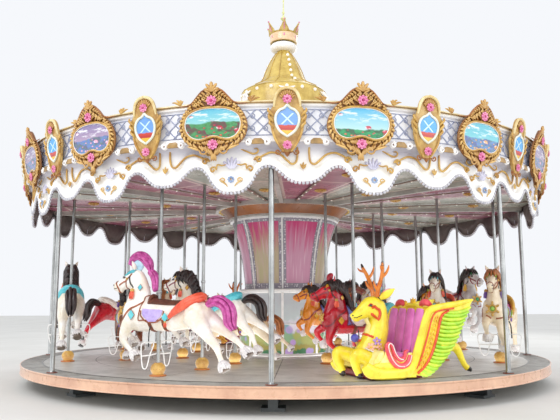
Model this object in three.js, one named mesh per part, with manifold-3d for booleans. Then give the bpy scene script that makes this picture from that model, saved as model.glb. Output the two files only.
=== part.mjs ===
// Three-abreast fairground carousel: a fixed base frame carries one turning platform with its canopy,
// two deer chariots and twenty-two horses that ride up and down on their poles.
// Millimetres, +Z up, origin on the ground at the axis. The front of the ride faces -Y.
import * as THREE from "three";
import { mergeVertices } from "three/addons/utils/BufferGeometryUtils.js";
import Module from "manifold-3d";

const wasm = await Module();
wasm.setup();

const DEG = Math.PI / 180;
const GAP = 0.3; // left between two pieces that touch
const RING_STEPS = 40; // facets round the platform and the canopy
const COLUMN_STEPS = 24; // facets round the centre column
const DOME_STEPS = 16; // facets round the dome and the crown

// Driving dimensions
const DECK_TOP = 350;
const DECK_R = 4560;
const DECK_THICK = 40;
const TREAD_WIDTH = 330; // ribbed ring along the edge of the deck
const BASE_TOP = 180;
const POLE_CIRCLE = 4445;
const POLE_R = 38;
const POLE_AZ = -2.03; // degrees from the front, towards +X
const BAYS = 8;
const RANK_AZ = -24.5;
const ROWS = {
  outer: { r: 3840, startAz: RANK_AZ - 1.6, scale: 0.97, raised: 0, crank: 270 },
  middle: { r: 2904, startAz: RANK_AZ, scale: 0.85, raised: 10, crank: 90 },
  inner: { r: 1920, startAz: RANK_AZ, scale: 0.7, raised: 40, crank: 270 },
};
const CRANK_STEP = 180; // degrees that each rank's crank is set on from the one before
const CRANK_LIFT = 80;
const CHARIOT_R = 3760;
const CHARIOT_RANKS = [1, 5];

const DRUM_R = 828;
const DRUM_TOP = 1560;
const FLARE_LOW_R = 728;
const FLARE_TOP_R = 990;
const FLARE_TOP = 2836;
const HUB_LOW_R = 1040;
const HUB_TOP_R = 1260;
const CEILING_Z = 3080;
const CEILING_THICK = 25;
const ARM_DROP = 70;
const ARM_WIDTH = 70;
const ARM_TIP_R = 4489.5;

const BAND_R = 4570;
const BAND_THICK = 40;
const BAND_LOW = 3250;
const BAND_TOP = 3720;
const VALANCE_R = 4516;
const VALANCE_THICK = 24;
const ARCH_Z = 2962;
const BIG_SCALLOP_Z = 2608;
const SMALL_SCALLOP_Z = 2788;
const PERIODS = 16;
const SMALL_SCALLOP_AZ = 3;
const SMALL_SCALLOP_WIDE = 9.1; // degrees between the arches on its two sides
const SHIELD_AZ = 0.51;
const FRAME_R = 4670; // front face of the picture frames
const FRAME_BACK_R = 4571.8; // its flats clear the corners of the cornice band
const RAIL_HIGH = 30;
const RAIL_Z = 40; // counted from the middle of the frames
const FRAME_MID_Z = 3474;

const ROOF_LOW_R = 4560;
const ROOF_TOP_R = 960;
const ROOF_TOP = 4890;
const ROOF_THICK = 40;
const DOME_BASE_TOP = 5400;
const CUSHION_LOW = 6250;
const CROWN_LOW = 6420;
const CROWN_BAND_TOP = 6650;
const SPIRE_TOP = 7600;

// Colours from the photograph, with roughness and metalness
const finish = (color, roughness = 0.4, metalness = 0) =>
  new THREE.MeshStandardMaterial({ color, roughness, metalness });
const STEEL = finish(0xb8b8b8, 0.3, 0.9);
const DARK_STEEL = finish(0x55585c, 0.6, 0.6);
const DECK_GREY = finish(0xa9a8a2, 0.5, 0.5);
const PEACH = finish(0xe2a886);
const WHITE = finish(0xf6f4f6);
const GOLD = finish(0xd9a441, 0.35, 0.3);
const DOME_GOLD = finish(0xd2b75a, 0.35, 0.3);
const AMBER = finish(0xa8651e);
const PINK = finish(0xc98fa6);
const MAUVE = finish(0xa8657b, 0.6);
const CREAM = finish(0xefe6d2);
const DEER_YELLOW = finish(0xf2e23a, 0.3);
const MAGENTA = finish(0xd763b5, 0.5);
const WINE = finish(0x8e1f3c, 0.3);
const PURPLE = finish(0x7a4fa8, 0.5);
const HORSE_COLOURS = [0xf4f1ea, 0xe08a1e, 0xc8152b, 0xd9cfbd, 0x6b4226].map((c) => finish(c, 0.3));

// Turns a closed geometry into a manifold solid, faces outwards
function solid(geometry) {
  const g = geometry.clone();
  g.deleteAttribute("normal");
  g.deleteAttribute("uv");
  const merged = mergeVertices(g, 1e-3);
  const triVerts = new Uint32Array(merged.index.array);
  const vertProperties = merged.attributes.position.array;
  const made = new wasm.Manifold(new wasm.Mesh({ numProp: 3, vertProperties, triVerts }));
  if (made.volume() > 0) return made;
  for (let i = 0; i < triVerts.length; i += 3) {
    [triVerts[i + 1], triVerts[i + 2]] = [triVerts[i + 2], triVerts[i + 1]];
  }
  return new wasm.Manifold(new wasm.Mesh({ numProp: 3, vertProperties, triVerts }));
}

function geometryOf(manifold) {
  const m = manifold.getMesh();
  const g = new THREE.BufferGeometry();
  g.setAttribute("position", new THREE.BufferAttribute(new Float32Array(m.vertProperties), 3));
  g.setIndex(new THREE.BufferAttribute(new Uint32Array(m.triVerts), 1));
  return g;
}

const union = (list) => list.map(solid).reduce((a, b) => a.add(b));
const joined = (list) => geometryOf(union(list));
const cut = (list, holes) => geometryOf(union(list).subtract(union(holes)));

// Solid of revolution about Z from a closed list of [radius, height]
function turned(profile, segments) {
  const points = profile.map(([r, z]) => new THREE.Vector2(r, z));
  if (profile[0][0] > 0) points.push(points[0].clone());
  return new THREE.LatheGeometry(points, segments).rotateX(90 * DEG);
}

const ring = (rIn, rOut, zLow, zTop, segments) =>
  turned([[rIn, zLow], [rOut, zLow], [rOut, zTop], [rIn, zTop]], segments);

const disc = (r, zLow, zTop, segments) => turned([[0, zLow], [r, zLow], [r, zTop], [0, zTop]], segments);

function block(x0, x1, y0, y1, z0, z1) {
  const box = new THREE.BoxGeometry(x1 - x0, y1 - y0, z1 - z0);
  return box.translate((x0 + x1) / 2, (y0 + y1) / 2, (z0 + z1) / 2);
}

// Upright cylinder at x, y
function post(x, y, r, zLow, zTop, sides) {
  return disc(r, zLow, zTop, sides).translate(x, y, 0);
}

// An outline in the X-Z plane, given thickness along Y from y0 to y1
function plate(outline, y0, y1) {
  const shape = new THREE.Shape(outline.map(([x, z]) => new THREE.Vector2(x, z)));
  const g = new THREE.ExtrudeGeometry(shape, { depth: y1 - y0, bevelEnabled: false });
  return g.rotateX(90 * DEG).translate(0, y1, 0);
}

// A limb or trunk that runs through stations [x, z, half width, half height], its sections turned
// square to its run and set off sideways by y
function limb(stations, sides, y = 0) {
  const rings = stations.map(([x, z, wide, high], i) => {
    const [xa, za] = stations[Math.max(i - 1, 0)];
    const [xb, zb] = stations[Math.min(i + 1, stations.length - 1)];
    const run = Math.hypot(xb - xa, zb - za);
    const normal = [-(zb - za) / run, (xb - xa) / run];
    return Array.from({ length: sides }, (_, k) => {
      const a = ((k + 0.5) / sides) * 2 * Math.PI;
      const up = Math.sin(a) * high;
      return [x + up * normal[0], y + Math.cos(a) * wide, z + up * normal[1]];
    });
  });
  return loft(rings);
}

// Skins a list of rings that have the same number of points, and closes both ends
function loft(rings) {
  const n = rings[0].length;
  const index = [];
  for (let i = 0; i < rings.length - 1; i++) {
    for (let k = 0; k < n; k++) {
      const a = i * n + k;
      const b = i * n + ((k + 1) % n);
      index.push(a, b, b + n, a, b + n, a + n);
    }
  }
  const last = (rings.length - 1) * n;
  for (let k = 1; k < n - 1; k++) {
    index.push(0, k + 1, k);
    index.push(last, last + k, last + k + 1);
  }
  const g = new THREE.BufferGeometry();
  g.setAttribute("position", new THREE.Float32BufferAttribute(rings.flat(2), 3));
  g.setIndex(index);
  return g;
}

const carousel = new THREE.Group();
const turning = new THREE.Group();
carousel.add(turning);

function add(parent, name, geometry, material) {
  const mesh = new THREE.Mesh(geometry, material);
  mesh.name = name;
  parent.add(mesh);
  return mesh;
}

// Turns a geometry that was made facing -Y to stand at an azimuth
const toAzimuth = (geometry, degrees) => geometry.clone().rotateZ(degrees * DEG);
const around = (count, start, make) =>
  Array.from({ length: count }, (_, k) => make(start + (360 / count) * k, k));

// A place on the platform: x runs the way the ride travels, y points outwards
function placeOnRing(mesh, r, degrees, lift = 0) {
  mesh.position.set(r * Math.sin(degrees * DEG), -r * Math.cos(degrees * DEG), DECK_TOP + lift);
  mesh.rotation.z = (180 + degrees) * DEG;
}

// Fixed base: eight radial beams on pads, round the seat of the turning bearing
const BEAM_TIP_R = 4150;
const BASE_BEAM_HALF = 60;
const PAD_HALF = 150;
const PAD_HIGH = 30;
const CENTRE_R = 850;
const BEARING_R = 620;
const BEARING_TOP = 230;
function baseFrame() {
  const beam = block(-BASE_BEAM_HALF, BASE_BEAM_HALF, -BEAM_TIP_R, -BEARING_R, PAD_HIGH, BASE_TOP);
  const pad = block(-PAD_HALF, PAD_HALF, -BEAM_TIP_R, -BEAM_TIP_R + 2 * PAD_HALF, 0, PAD_HIGH + 10);
  const beams = around(BAYS, POLE_AZ, (az) => toAzimuth(beam, az));
  const pads = around(BAYS, POLE_AZ, (az) => toAzimuth(pad, az));
  return joined([disc(CENTRE_R, 0, BASE_TOP, 16), ...beams, ...pads]);
}
add(carousel, "base_frame", baseFrame(), DARK_STEEL);
add(carousel, "slewing_ring", disc(BEARING_R, BASE_TOP + GAP, BEARING_TOP, 24), STEEL);

// Platform: beams, plate with the ball guides of the horse poles, tread ring and edge band
const PLATE_LOW = DECK_TOP - DECK_THICK;
const TREAD_IN_R = DECK_R - TREAD_WIDTH;
const DECK_BEAM_HALF = 50;
const DECK_BEAM_TIP_R = 4480;
const DECK_HUB_R = 720;
function deckFrame() {
  const low = BEARING_TOP + 10;
  const beam = block(-DECK_BEAM_HALF, DECK_BEAM_HALF, -DECK_BEAM_TIP_R, -BEARING_R, low, PLATE_LOW - GAP);
  const beams = around(BAYS, POLE_AZ, (az) => toAzimuth(beam, az));
  return joined([disc(DECK_HUB_R, BEARING_TOP + GAP, PLATE_LOW - GAP, 24), ...beams]);
}
add(turning, "deck_frame", deckFrame(), DARK_STEEL);

const HORSE_POLE_R = 24;
const BORE_R = 24.8;
const BALL_R = 92;
const seats = Object.entries(ROWS)
  .flatMap(([row, { r, startAz, crank }]) =>
    around(BAYS, startAz, (az, rank) => {
      const lift = CRANK_LIFT * Math.sin((crank + CRANK_STEP * rank) * DEG);
      return { row, r, az, rank, lift };
    }),
  )
  .filter(({ row, rank }) => row !== "outer" || !CHARIOT_RANKS.includes(rank));

// Stands a geometry that was made round the Z axis at a seat, turned as the seat's horse is
const atSeat = (geometry, { r, az }) => toAzimuth(geometry.clone().translate(0, -r, 0), az);

function deck() {
  const ball = [[20, -10], [70, -10], [BALL_R, 90], [50, 165], [20, 165]];
  const guide = turned(ball.map(([r, z]) => [r, z + DECK_TOP]), 6);
  const bore = disc(BORE_R, PLATE_LOW - 20, DECK_TOP + 200, 6);
  const guides = seats.map((seat) => atSeat(guide, seat));
  const bores = seats.map((seat) => atSeat(bore, seat));
  return cut([disc(TREAD_IN_R - GAP, PLATE_LOW, DECK_TOP, RING_STEPS), ...guides], bores);
}
add(turning, "deck", deck(), DECK_GREY);
const RIM_LOW = 205;
const RIM_IN_R = DECK_R - 20;
const treadRing = ring(TREAD_IN_R, RIM_IN_R - GAP, PLATE_LOW, DECK_TOP, RING_STEPS);
add(turning, "deck_tread_ring", treadRing, DECK_GREY);
add(turning, "deck_rim", ring(RIM_IN_R, DECK_R, RIM_LOW, DECK_TOP, RING_STEPS), PEACH);

// Eight canopy poles, each with a round foot
const POLE_TOP = CEILING_Z - ARM_DROP - GAP;
const POLE_FLANGE_R = 75;
const POLE_FLANGE_TOP = DECK_TOP + 14;
const canopyPole = joined([
  post(0, -POLE_CIRCLE, POLE_R, DECK_TOP + GAP, POLE_TOP, 8),
  post(0, -POLE_CIRCLE, POLE_FLANGE_R, DECK_TOP + GAP, POLE_FLANGE_TOP, 8),
]);
around(BAYS, POLE_AZ, (az, k) => {
  add(turning, `canopy_pole_${k + 1}`, canopyPole, STEEL).rotation.z = az * DEG;
});

// Centre column: straight drum, flared panel housing and amber hub band
const HOOP = 45; // height of the hoops round the column
const FOOT_HOOP_R = DRUM_R + 30;
const DRUM_HOOP_R = DRUM_R + 25;
const FLARE_HOOP_R = FLARE_TOP_R + 45;
const drum = [
  [0, DECK_TOP + GAP], [FOOT_HOOP_R, DECK_TOP + GAP], [FOOT_HOOP_R, DECK_TOP + HOOP],
  [DRUM_R, DECK_TOP + HOOP], [DRUM_R, DRUM_TOP - HOOP], [DRUM_HOOP_R, DRUM_TOP - HOOP],
  [DRUM_HOOP_R, DRUM_TOP], [0, DRUM_TOP],
];
add(turning, "column_drum", turned(drum, COLUMN_STEPS), CREAM);
const flare = [
  [0, DRUM_TOP + GAP], [FLARE_LOW_R, DRUM_TOP + GAP], [FLARE_TOP_R, FLARE_TOP - HOOP],
  [FLARE_HOOP_R, FLARE_TOP - HOOP], [FLARE_HOOP_R, FLARE_TOP], [0, FLARE_TOP],
];
add(turning, "column_flare", turned(flare, COLUMN_STEPS), PINK);
const hub = [
  [0, FLARE_TOP + GAP], [HUB_LOW_R, FLARE_TOP + GAP], [HUB_TOP_R, CEILING_Z - HOOP],
  [HUB_TOP_R, CEILING_Z - GAP], [0, CEILING_Z - GAP],
];
add(turning, "hub_band", turned(hub, COLUMN_STEPS), AMBER);

// Ceiling under the roof, with a hole for each horse pole, and the radial arms that carry it
const CEILING_HOLE_R = 50;
const CEILING_R = 4488;
function ceiling() {
  const hole = disc(CEILING_HOLE_R, CEILING_Z - 20, CEILING_Z + 60, 6);
  const holes = seats.map((seat) => atSeat(hole, seat));
  return cut([disc(CEILING_R, CEILING_Z, CEILING_Z + CEILING_THICK, RING_STEPS)], holes);
}
add(turning, "ceiling", ceiling(), MAUVE);
function ceilingArms() {
  const low = CEILING_Z - ARM_DROP;
  const arm = block(-ARM_WIDTH / 2, ARM_WIDTH / 2, -ARM_TIP_R, -HUB_TOP_R - 20, low, CEILING_Z - GAP);
  const arms = around(BAYS, POLE_AZ, (az) => toAzimuth(arm, az));
  return joined([ring(HUB_TOP_R + GAP, HUB_TOP_R + 60, low, CEILING_Z - GAP, 24), ...arms]);
}
add(turning, "ceiling_arms", ceilingArms(), STEEL);

// Cornice band with its foot flange and top rail
const band = [
  [VALANCE_R - 60, BAND_LOW], [BAND_R, BAND_LOW], [BAND_R, BAND_TOP], [BAND_R - BAND_THICK, BAND_TOP],
  [BAND_R - BAND_THICK, BAND_LOW + 30], [VALANCE_R - 60, BAND_LOW + 30],
];
add(turning, "cornice_band", turned(band, RING_STEPS), WHITE);

// Valance: sixteen repeats of one small and one big scallop
function scallopEdge(az) {
  const period = 360 / PERIODS;
  const from = ((((az - SMALL_SCALLOP_AZ) % period) + 1.5 * period) % period) - period / 2;
  const halfSmall = SMALL_SCALLOP_WIDE / 2;
  if (Math.abs(from) < halfSmall) {
    return ARCH_Z - (ARCH_Z - SMALL_SCALLOP_Z) * Math.cos((from / halfSmall) * 90 * DEG) ** 2;
  }
  const halfBig = period / 2 - halfSmall;
  const t = (period / 2 - Math.abs(from)) / halfBig;
  return ARCH_Z - (ARCH_Z - BIG_SCALLOP_Z) * Math.cos(t * 90 * DEG) ** 1.5;
}

// A wall that runs round the axis between two radii: each step is [azimuth, lowest z, highest z]
function ribbon(rIn, rOut, steps) {
  const rings = steps.map(([az, low, top]) => {
    const corner = (r, z) => [r * Math.sin(az * DEG), -r * Math.cos(az * DEG), z];
    return [corner(rIn, low), corner(rOut, low), corner(rOut, top), corner(rIn, top)];
  });
  const index = [];
  rings.forEach((_, i) => {
    const next = ((i + 1) % rings.length) * 4;
    for (let k = 0; k < 4; k++) {
      const l = (k + 1) % 4;
      index.push(i * 4 + k, next + k, next + l, i * 4 + k, next + l, i * 4 + l);
    }
  });
  const g = new THREE.BufferGeometry();
  g.setAttribute("position", new THREE.Float32BufferAttribute(rings.flat(2), 3));
  g.setIndex(index);
  return joined([g]);
}

function valance() {
  const small = [-1, -0.5, 0, 0.5].map((t) => (t * SMALL_SCALLOP_WIDE) / 2);
  const bigWide = 360 / PERIODS - SMALL_SCALLOP_WIDE;
  const big = [0, 0.3, 0.5, 0.7].map((t) => SMALL_SCALLOP_WIDE / 2 + t * bigWide);
  const azimuths = around(PERIODS, SMALL_SCALLOP_AZ, (az) => [...small, ...big].map((d) => az + d)).flat();
  const steps = azimuths.map((az) => [az, scallopEdge(az), BAND_LOW - GAP]);
  return ribbon(VALANCE_R - VALANCE_THICK, VALANCE_R, steps);
}
add(turning, "valance", valance(), WHITE);

// Sixteen oval and sixteen shield frames round the cornice, joined by a rail between them. An outline
// is a list of [distance from the frame's middle, lowest z, highest z], both z counted from its middle,
// and its last step is as high as the rail
function pictureFrames() {
  const whole = (half) => [...half.slice(1).reverse().map(([x, low, top]) => [-x, low, top]), ...half];
  const rail = (x) => [x, RAIL_Z, RAIL_Z + RAIL_HIGH];
  const oval = whole([[0, -415, 513], [240, -320, 330], [385, -170, 180], rail(440)]);
  const shield = whole([[0, -363, 401], [150, -180, 330], rail(238)]);
  const set = (outline, az) =>
    outline.map(([x, low, top]) => [az + x / FRAME_R / DEG, FRAME_MID_Z + low, FRAME_MID_Z + top]);
  const steps = around(PERIODS, SHIELD_AZ, (az) => [...set(shield, az), ...set(oval, az + 180 / PERIODS)]);
  return ribbon(FRAME_BACK_R, FRAME_R, steps.flat());
}
add(turning, "picture_frames", pictureFrames(), GOLD);

// Roof cone, and the crowned dome on it
const roof = [
  [ROOF_LOW_R - 60, BAND_TOP + GAP], [ROOF_LOW_R, BAND_TOP + GAP], [ROOF_LOW_R, BAND_TOP + ROOF_THICK],
  [ROOF_TOP_R, ROOF_TOP + ROOF_THICK], [ROOF_TOP_R - 60, ROOF_TOP + ROOF_THICK], [ROOF_TOP_R - 60, ROOF_TOP],
];
add(turning, "roof", turned(roof, RING_STEPS), CREAM);
const domeFoot = ROOF_TOP + ROOF_THICK + GAP;
const domeBase = [
  [0, domeFoot], [930, domeFoot], [930, domeFoot + 60], [760, domeFoot + 90], [760, DOME_BASE_TOP],
  [0, DOME_BASE_TOP],
];
add(turning, "dome_base", turned(domeBase, DOME_STEPS), WHITE);
const SKIRT_R = 835;
const bell = [
  [0, DOME_BASE_TOP + GAP], [SKIRT_R, DOME_BASE_TOP + GAP], [SKIRT_R, DOME_BASE_TOP + 30], [640, 5480],
  [444, 5605], [415, 5680], [368, 5807], [244, 6070], [90, CUSHION_LOW - GAP], [0, CUSHION_LOW - GAP],
];
add(turning, "dome", turned(bell, DOME_STEPS), DOME_GOLD);
const cushion = [
  [0, CUSHION_LOW], [180, CUSHION_LOW], [265, CUSHION_LOW + 85], [235, CROWN_LOW - GAP], [0, CROWN_LOW - GAP],
];
add(turning, "crown_cushion", turned(cushion, DOME_STEPS), WHITE);
const CROWN_R = 271;
const CAP_HIGH = 120; // the crown's closed lower part
const SPIKE_TOP = 6932;
const SPIKE_FOOT = CROWN_BAND_TOP - 60;
function crown() {
  const spike = plate([[-105, SPIKE_FOOT], [105, SPIKE_FOOT], [0, SPIKE_TOP]], -12, 12);
  spike.translate(0, 0, -CROWN_BAND_TOP).rotateX(18 * DEG).translate(0, -CROWN_R + 4, CROWN_BAND_TOP);
  const cap = disc(CROWN_R - 10, CROWN_LOW, CROWN_LOW + CAP_HIGH, DOME_STEPS);
  const wall = ring(CROWN_R - 30, CROWN_R, CROWN_LOW, CROWN_BAND_TOP, DOME_STEPS);
  return joined([wall, cap, ...around(6, 3, (az) => toAzimuth(spike, az))]);
}
add(turning, "crown", crown(), DOME_GOLD);
const SPIRE_FOOT = CROWN_LOW + CAP_HIGH + GAP;
const spire = [
  [0, SPIRE_FOOT], [60, SPIRE_FOOT], [22, 6900], [40, 6960], [22, 7020], [12, SPIRE_TOP - 80],
  [0, SPIRE_TOP],
];
add(turning, "spire", turned(spire, 8), DOME_GOLD);

// Horse in full gallop with its pole, head towards +X, pole at the origin, at the middle of its stroke
const POLE_FOOT = -10;
const POLE_HEAD = CEILING_Z - DECK_TOP + 190;
function horse({ scale, raised }) {
  const trunk = limb([
    [-800, 880, 50, 80], [-660, 865, 160, 190], [-150, 850, 160, 190], [150, 875, 150, 210],
    [430, 880, 125, 180], [560, 905, 60, 110],
  ], 5);
  const neck = limb([
    [340, 960, 105, 230], [300, 1270, 62, 160], [400, 1420, 62, 120], [560, 1365, 58, 100],
    [775, 1265, 38, 52],
  ], 4);
  const leg = (y, hip, knee, hoof) => limb([[...hip, 55, 75], [...knee, 45, 55], [...hoof, 36, 40]], 3, y);
  const legs = [
    leg(85, [400, 830], [540, 545], [310, 360]),
    leg(-85, [420, 860], [640, 700], [470, 500]),
    leg(95, [-660, 860], [-960, 500], [-1100, 235]),
    leg(-95, [-660, 860], [-1100, 600], [-1280, 420]),
  ];
  const dock = [[-760, 970, 35, 45], [-970, 1050, 50, 70], [-1130, 860, 50, 65], [-1170, 690, 25, 30]];
  const tail = limb(dock, 3);
  const figure = [trunk, neck, ...legs, tail];
  figure.forEach((g) => g.scale(scale, scale, scale).translate(0, 0, raised));
  return joined([...figure, post(0, 0, HORSE_POLE_R, POLE_FOOT, POLE_HEAD, 6)]);
}
const horseShapes = new Map(Object.entries(ROWS).map(([row, size]) => [row, horse(size)]));
seats.forEach(({ row, r, az, rank, lift }, i) => {
  const name = `${row}_horse_${rank + 1}`;
  const mesh = add(turning, name, horseShapes.get(row), HORSE_COLOURS[i % HORSE_COLOURS.length]);
  placeOnRing(mesh, r, az, lift);
});

// Deer chariot, head towards +X: a low hull with wing sides, and a seat between them
const CHARIOT_HALF = 470;
const SIDE_THICK = 45;
const CROSS_HALF = CHARIOT_HALF - 20; // half length of what runs across between the sides
const FLOOR_TOP = 90;
const REST_LOW_X = -240;
const REST_TOP_X = -420;
function chariotBody() {
  const wing = [
    [-160, 5], [455, 5], [540, 150], [400, 300], [240, 470], [130, 330], [0, 270], [-110, 320], [-245, 482],
    [-389, 880], [-760, 920], [-1103, 1000], [-915, 704], [-759, 412], [-466, 90],
  ];
  const sides = [CHARIOT_HALF - SIDE_THICK, -CHARIOT_HALF].map((y) => plate(wing, y, y + SIDE_THICK));
  const floor = block(-400, 420, -CROSS_HALF, CROSS_HALF, GAP, FLOOR_TOP);
  const restOutline = [
    [REST_LOW_X, FLOOR_TOP - 10], [REST_LOW_X - 50, FLOOR_TOP - 10],
    [REST_TOP_X - 50, 880], [REST_TOP_X, 880],
  ];
  const chestOutline = [[300, 20], [450, 20], [480, 200], [330, 440], [220, 440], [230, 200]];
  const [rest, chest] = [restOutline, chestOutline].map((line) => plate(line, -CROSS_HALF, CROSS_HALF));
  const neck = limb([[270, 330, 150, 150], [130, 560, 120, 150], [100, 860, 90, 125]], 5);
  const head = limb([[40, 1010, 70, 85], [180, 990, 95, 115], [330, 850, 60, 85], [470, 770, 40, 50]], 5);
  const antler = (turn) => limb([[120, 1050, 28, 28], [110, 1290, 26, 26], [150, 1480, 16, 16]], 4)
    .translate(0, 0, -1050).rotateX(turn).translate(0, 0, 1050);
  const tine = (turn) => limb([[112, 1280, 22, 22], [20, 1380, 12, 12]], 4)
    .translate(0, 0, -1050).rotateX(turn).translate(0, 0, 1050);
  const thigh = [[300, 180, 90, 120], [560, 300, 85, 95], [530, 170, 60, 70], [470, 40, 48, 50]];
  const foreleg = (y) => limb(thigh, 4, y);
  const hindleg = (y) => limb([[-660, 350, 45, 80], [-850, 330, 45, 60], [-1000, 130, 40, 45]], 4, y);
  const spread = 28 * DEG;
  return joined([
    ...sides, floor, rest, chest, neck, head, antler(spread), antler(-spread), tine(spread), tine(-spread),
    foreleg(200), foreleg(-200), hindleg(430), hindleg(-430),
  ]);
}
const SEAT_HALF = CHARIOT_HALF - SIDE_THICK - 5;
function chariotSeat() {
  const low = FLOOR_TOP + GAP;
  const cushion = [
    [REST_LOW_X + 15, low], [60, low], [60, 290], [20, 330], [REST_LOW_X - 10, 310], [REST_TOP_X + 75, 840],
    [REST_TOP_X + 40, 855], [REST_TOP_X + 30, 820],
  ];
  return plate(cushion, -SEAT_HALF, SEAT_HALF);
}
const chariotSolid = chariotBody();
const seatSolid = chariotSeat();
const CHARIOT_COLOURS = [[DEER_YELLOW, MAGENTA], [WINE, PURPLE]];
CHARIOT_RANKS.forEach((rank, i) => {
  const az = RANK_AZ + (360 / BAYS) * rank;
  const [paint, cover] = CHARIOT_COLOURS[i];
  placeOnRing(add(turning, `deer_chariot_${i + 1}`, chariotSolid, paint), CHARIOT_R, az);
  placeOnRing(add(turning, `chariot_seat_${i + 1}`, seatSolid, cover), CHARIOT_R, az);
});

export default carousel;
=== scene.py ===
import math
from functools import partial

import bpy
from bpy.props import FloatProperty, FloatVectorProperty, IntProperty, PointerProperty
from mathutils import Matrix, Vector
from mathutils.bvhtree import BVHTree


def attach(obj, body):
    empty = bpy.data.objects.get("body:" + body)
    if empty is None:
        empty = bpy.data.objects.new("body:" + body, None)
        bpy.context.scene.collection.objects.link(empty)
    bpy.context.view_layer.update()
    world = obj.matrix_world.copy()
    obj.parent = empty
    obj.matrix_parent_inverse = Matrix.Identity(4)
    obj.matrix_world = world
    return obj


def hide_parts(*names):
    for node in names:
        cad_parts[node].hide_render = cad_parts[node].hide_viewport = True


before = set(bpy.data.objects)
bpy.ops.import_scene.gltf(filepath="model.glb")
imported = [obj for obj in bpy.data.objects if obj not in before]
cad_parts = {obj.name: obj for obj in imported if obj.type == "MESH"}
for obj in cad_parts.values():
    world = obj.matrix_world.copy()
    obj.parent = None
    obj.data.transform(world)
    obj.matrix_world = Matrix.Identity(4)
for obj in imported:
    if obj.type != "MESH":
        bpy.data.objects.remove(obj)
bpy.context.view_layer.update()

bl_info = {
    "name": "Fairground Carousel",
    "version": (1, 0, 0),
    "blender": (4, 5, 0),
    "location": "View3D > Sidebar > Carousel",
    "description": "Models and paints the carousel's pieces over its packed frame",
    "category": "Object",
}

# Sizes of the ride, in metres and radians
BAYS = 16
BAY = math.radians(22.5)
DECK_Z = 0.35
POLE_CIRCLE = 4.445
ROUND_STEPS = 160  # facets of what is turned round the canopy and the deck
COLUMN_STEPS = 128
DOME_STEPS = 96
POLE_AZ = math.radians(-2.03)
OVAL_AZ = math.radians(11.76)
SHIELD_AZ = math.radians(0.51)
SCALLOP_AZ = math.radians(14.26)
VALANCE_R = 4.516
CEILING_EDGE_Z = 3.09
FRAME_R = 4.648
FRAME_Z = 3.484
FRAME_LEAN = math.radians(8.5)
FRAME_LEAN_RISE = math.tan(FRAME_LEAN)
SIXTEENTHS = [k * math.pi / 8 for k in range(16)]  # a turn in sixteen steps
MIRROR_X = Matrix.Diagonal((-1, 1, 1, 1))
MIRROR_Y = Matrix.Diagonal((1, -1, 1, 1))


# Drawing and shaping helpers


def deselect():
    """Leaves edit mode and selects nothing"""
    if bpy.context.object and bpy.context.object.mode != "OBJECT":
        bpy.ops.object.mode_set(mode="OBJECT")
    bpy.ops.object.select_all(action="DESELECT")


def pick(*objects):
    """Selects these objects alone, the first one active"""
    deselect()
    for obj in objects:
        obj.select_set(True)
    bpy.context.view_layer.objects.active = objects[0]


def name_it(obj, name):
    """Names an object and its mesh"""
    obj.name = name
    obj.data.name = name
    return obj


def smooth_path(stations, steps=4, closed=False):
    """Stations of any number of values, joined by a smooth line through them all"""
    count = len(stations)
    path = []
    for i in range(count if closed else count - 1):
        if closed:
            a, b, c, d = (stations[(i + k) % count] for k in (-1, 0, 1, 2))
        else:
            a = stations[max(i - 1, 0)]
            b = stations[i]
            c = stations[i + 1]
            d = stations[min(i + 2, count - 1)]
        for s in range(steps):
            t = s / steps
            path.append(tuple(
                0.5 * (2 * q + (r - p) * t + (2 * p - 5 * q + 4 * r - u) * t**2
                       + (3 * q - p - 3 * r + u) * t**3)
                for p, q, r, u in zip(a, b, c, d)
            ))
    if not closed:
        path.append(tuple(stations[-1]))
    return path


def drawn(points, radii=None, closed=False, sides=8):
    """A drawn line as a mesh: bare, or round with its own radius at each point"""
    deselect()
    bpy.ops.curve.primitive_nurbs_path_add()
    obj = bpy.context.object
    line = obj.data
    line.splines.clear()
    spline = line.splines.new("POLY")
    spline.points.add(len(points) - 1)
    for i, point in enumerate(points):
        spline.points[i].co = (*point, 1.0)
        spline.points[i].radius = radii[i] if radii else 1.0
    spline.use_cyclic_u = closed
    line.dimensions = "3D"
    if radii:
        line.bevel_depth = 1.0
        line.bevel_resolution = max(0, (sides - 4) // 2)
        line.use_fill_caps = not closed
    bpy.ops.object.convert(target="MESH")
    return bpy.context.object


def edit(obj, *calls):
    """Runs edit-mode operators, each as (operator, options), on the whole mesh"""
    pick(obj)
    bpy.ops.object.mode_set(mode="EDIT")
    bpy.ops.mesh.select_all(action="SELECT")
    for call, options in calls:
        call(**options)
    bpy.ops.object.mode_set(mode="OBJECT")
    return obj


def clean(obj, gap=0.0002):
    """Merges doubles and turns the normals outward"""
    return edit(
        obj,
        (bpy.ops.mesh.remove_doubles, {"threshold": gap}),
        (bpy.ops.mesh.normals_make_consistent, {"inside": False}),
    )


def rounded(obj, angle=40):
    """Smooth shading, sharp over that angle"""
    pick(obj)
    bpy.ops.object.shade_smooth_by_angle(angle=math.radians(angle))
    return obj


def modified(obj, kind, **settings):
    """Adds a modifier and applies it"""
    pick(obj)
    mod = obj.modifiers.new(kind.title(), kind)
    for name, value in settings.items():
        setattr(mod, name, value)
    bpy.ops.object.modifier_apply(modifier=mod.name)
    return obj


def tube(stations, sides=8, steps=4, closed=False):
    """Round bar through stations of (x, y, z, radius)"""
    path = smooth_path(stations, steps, closed)
    bar = drawn([p[:3] for p in path], [max(p[3], 0.0008) for p in path], closed, sides)
    return rounded(clean(bar), 60)


def turned(profile, steps=ROUND_STEPS):
    """Spins a closed profile of (radius, height) round the upright axis"""
    ring = drawn([(r, 0, z) for r, z in profile], closed=True)
    edit(ring, (bpy.ops.mesh.spin, {
        "steps": steps, "angle": 2 * math.pi, "center": (0, 0, 0), "axis": (0, 0, 1),
    }))
    return rounded(clean(ring), 32)


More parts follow.
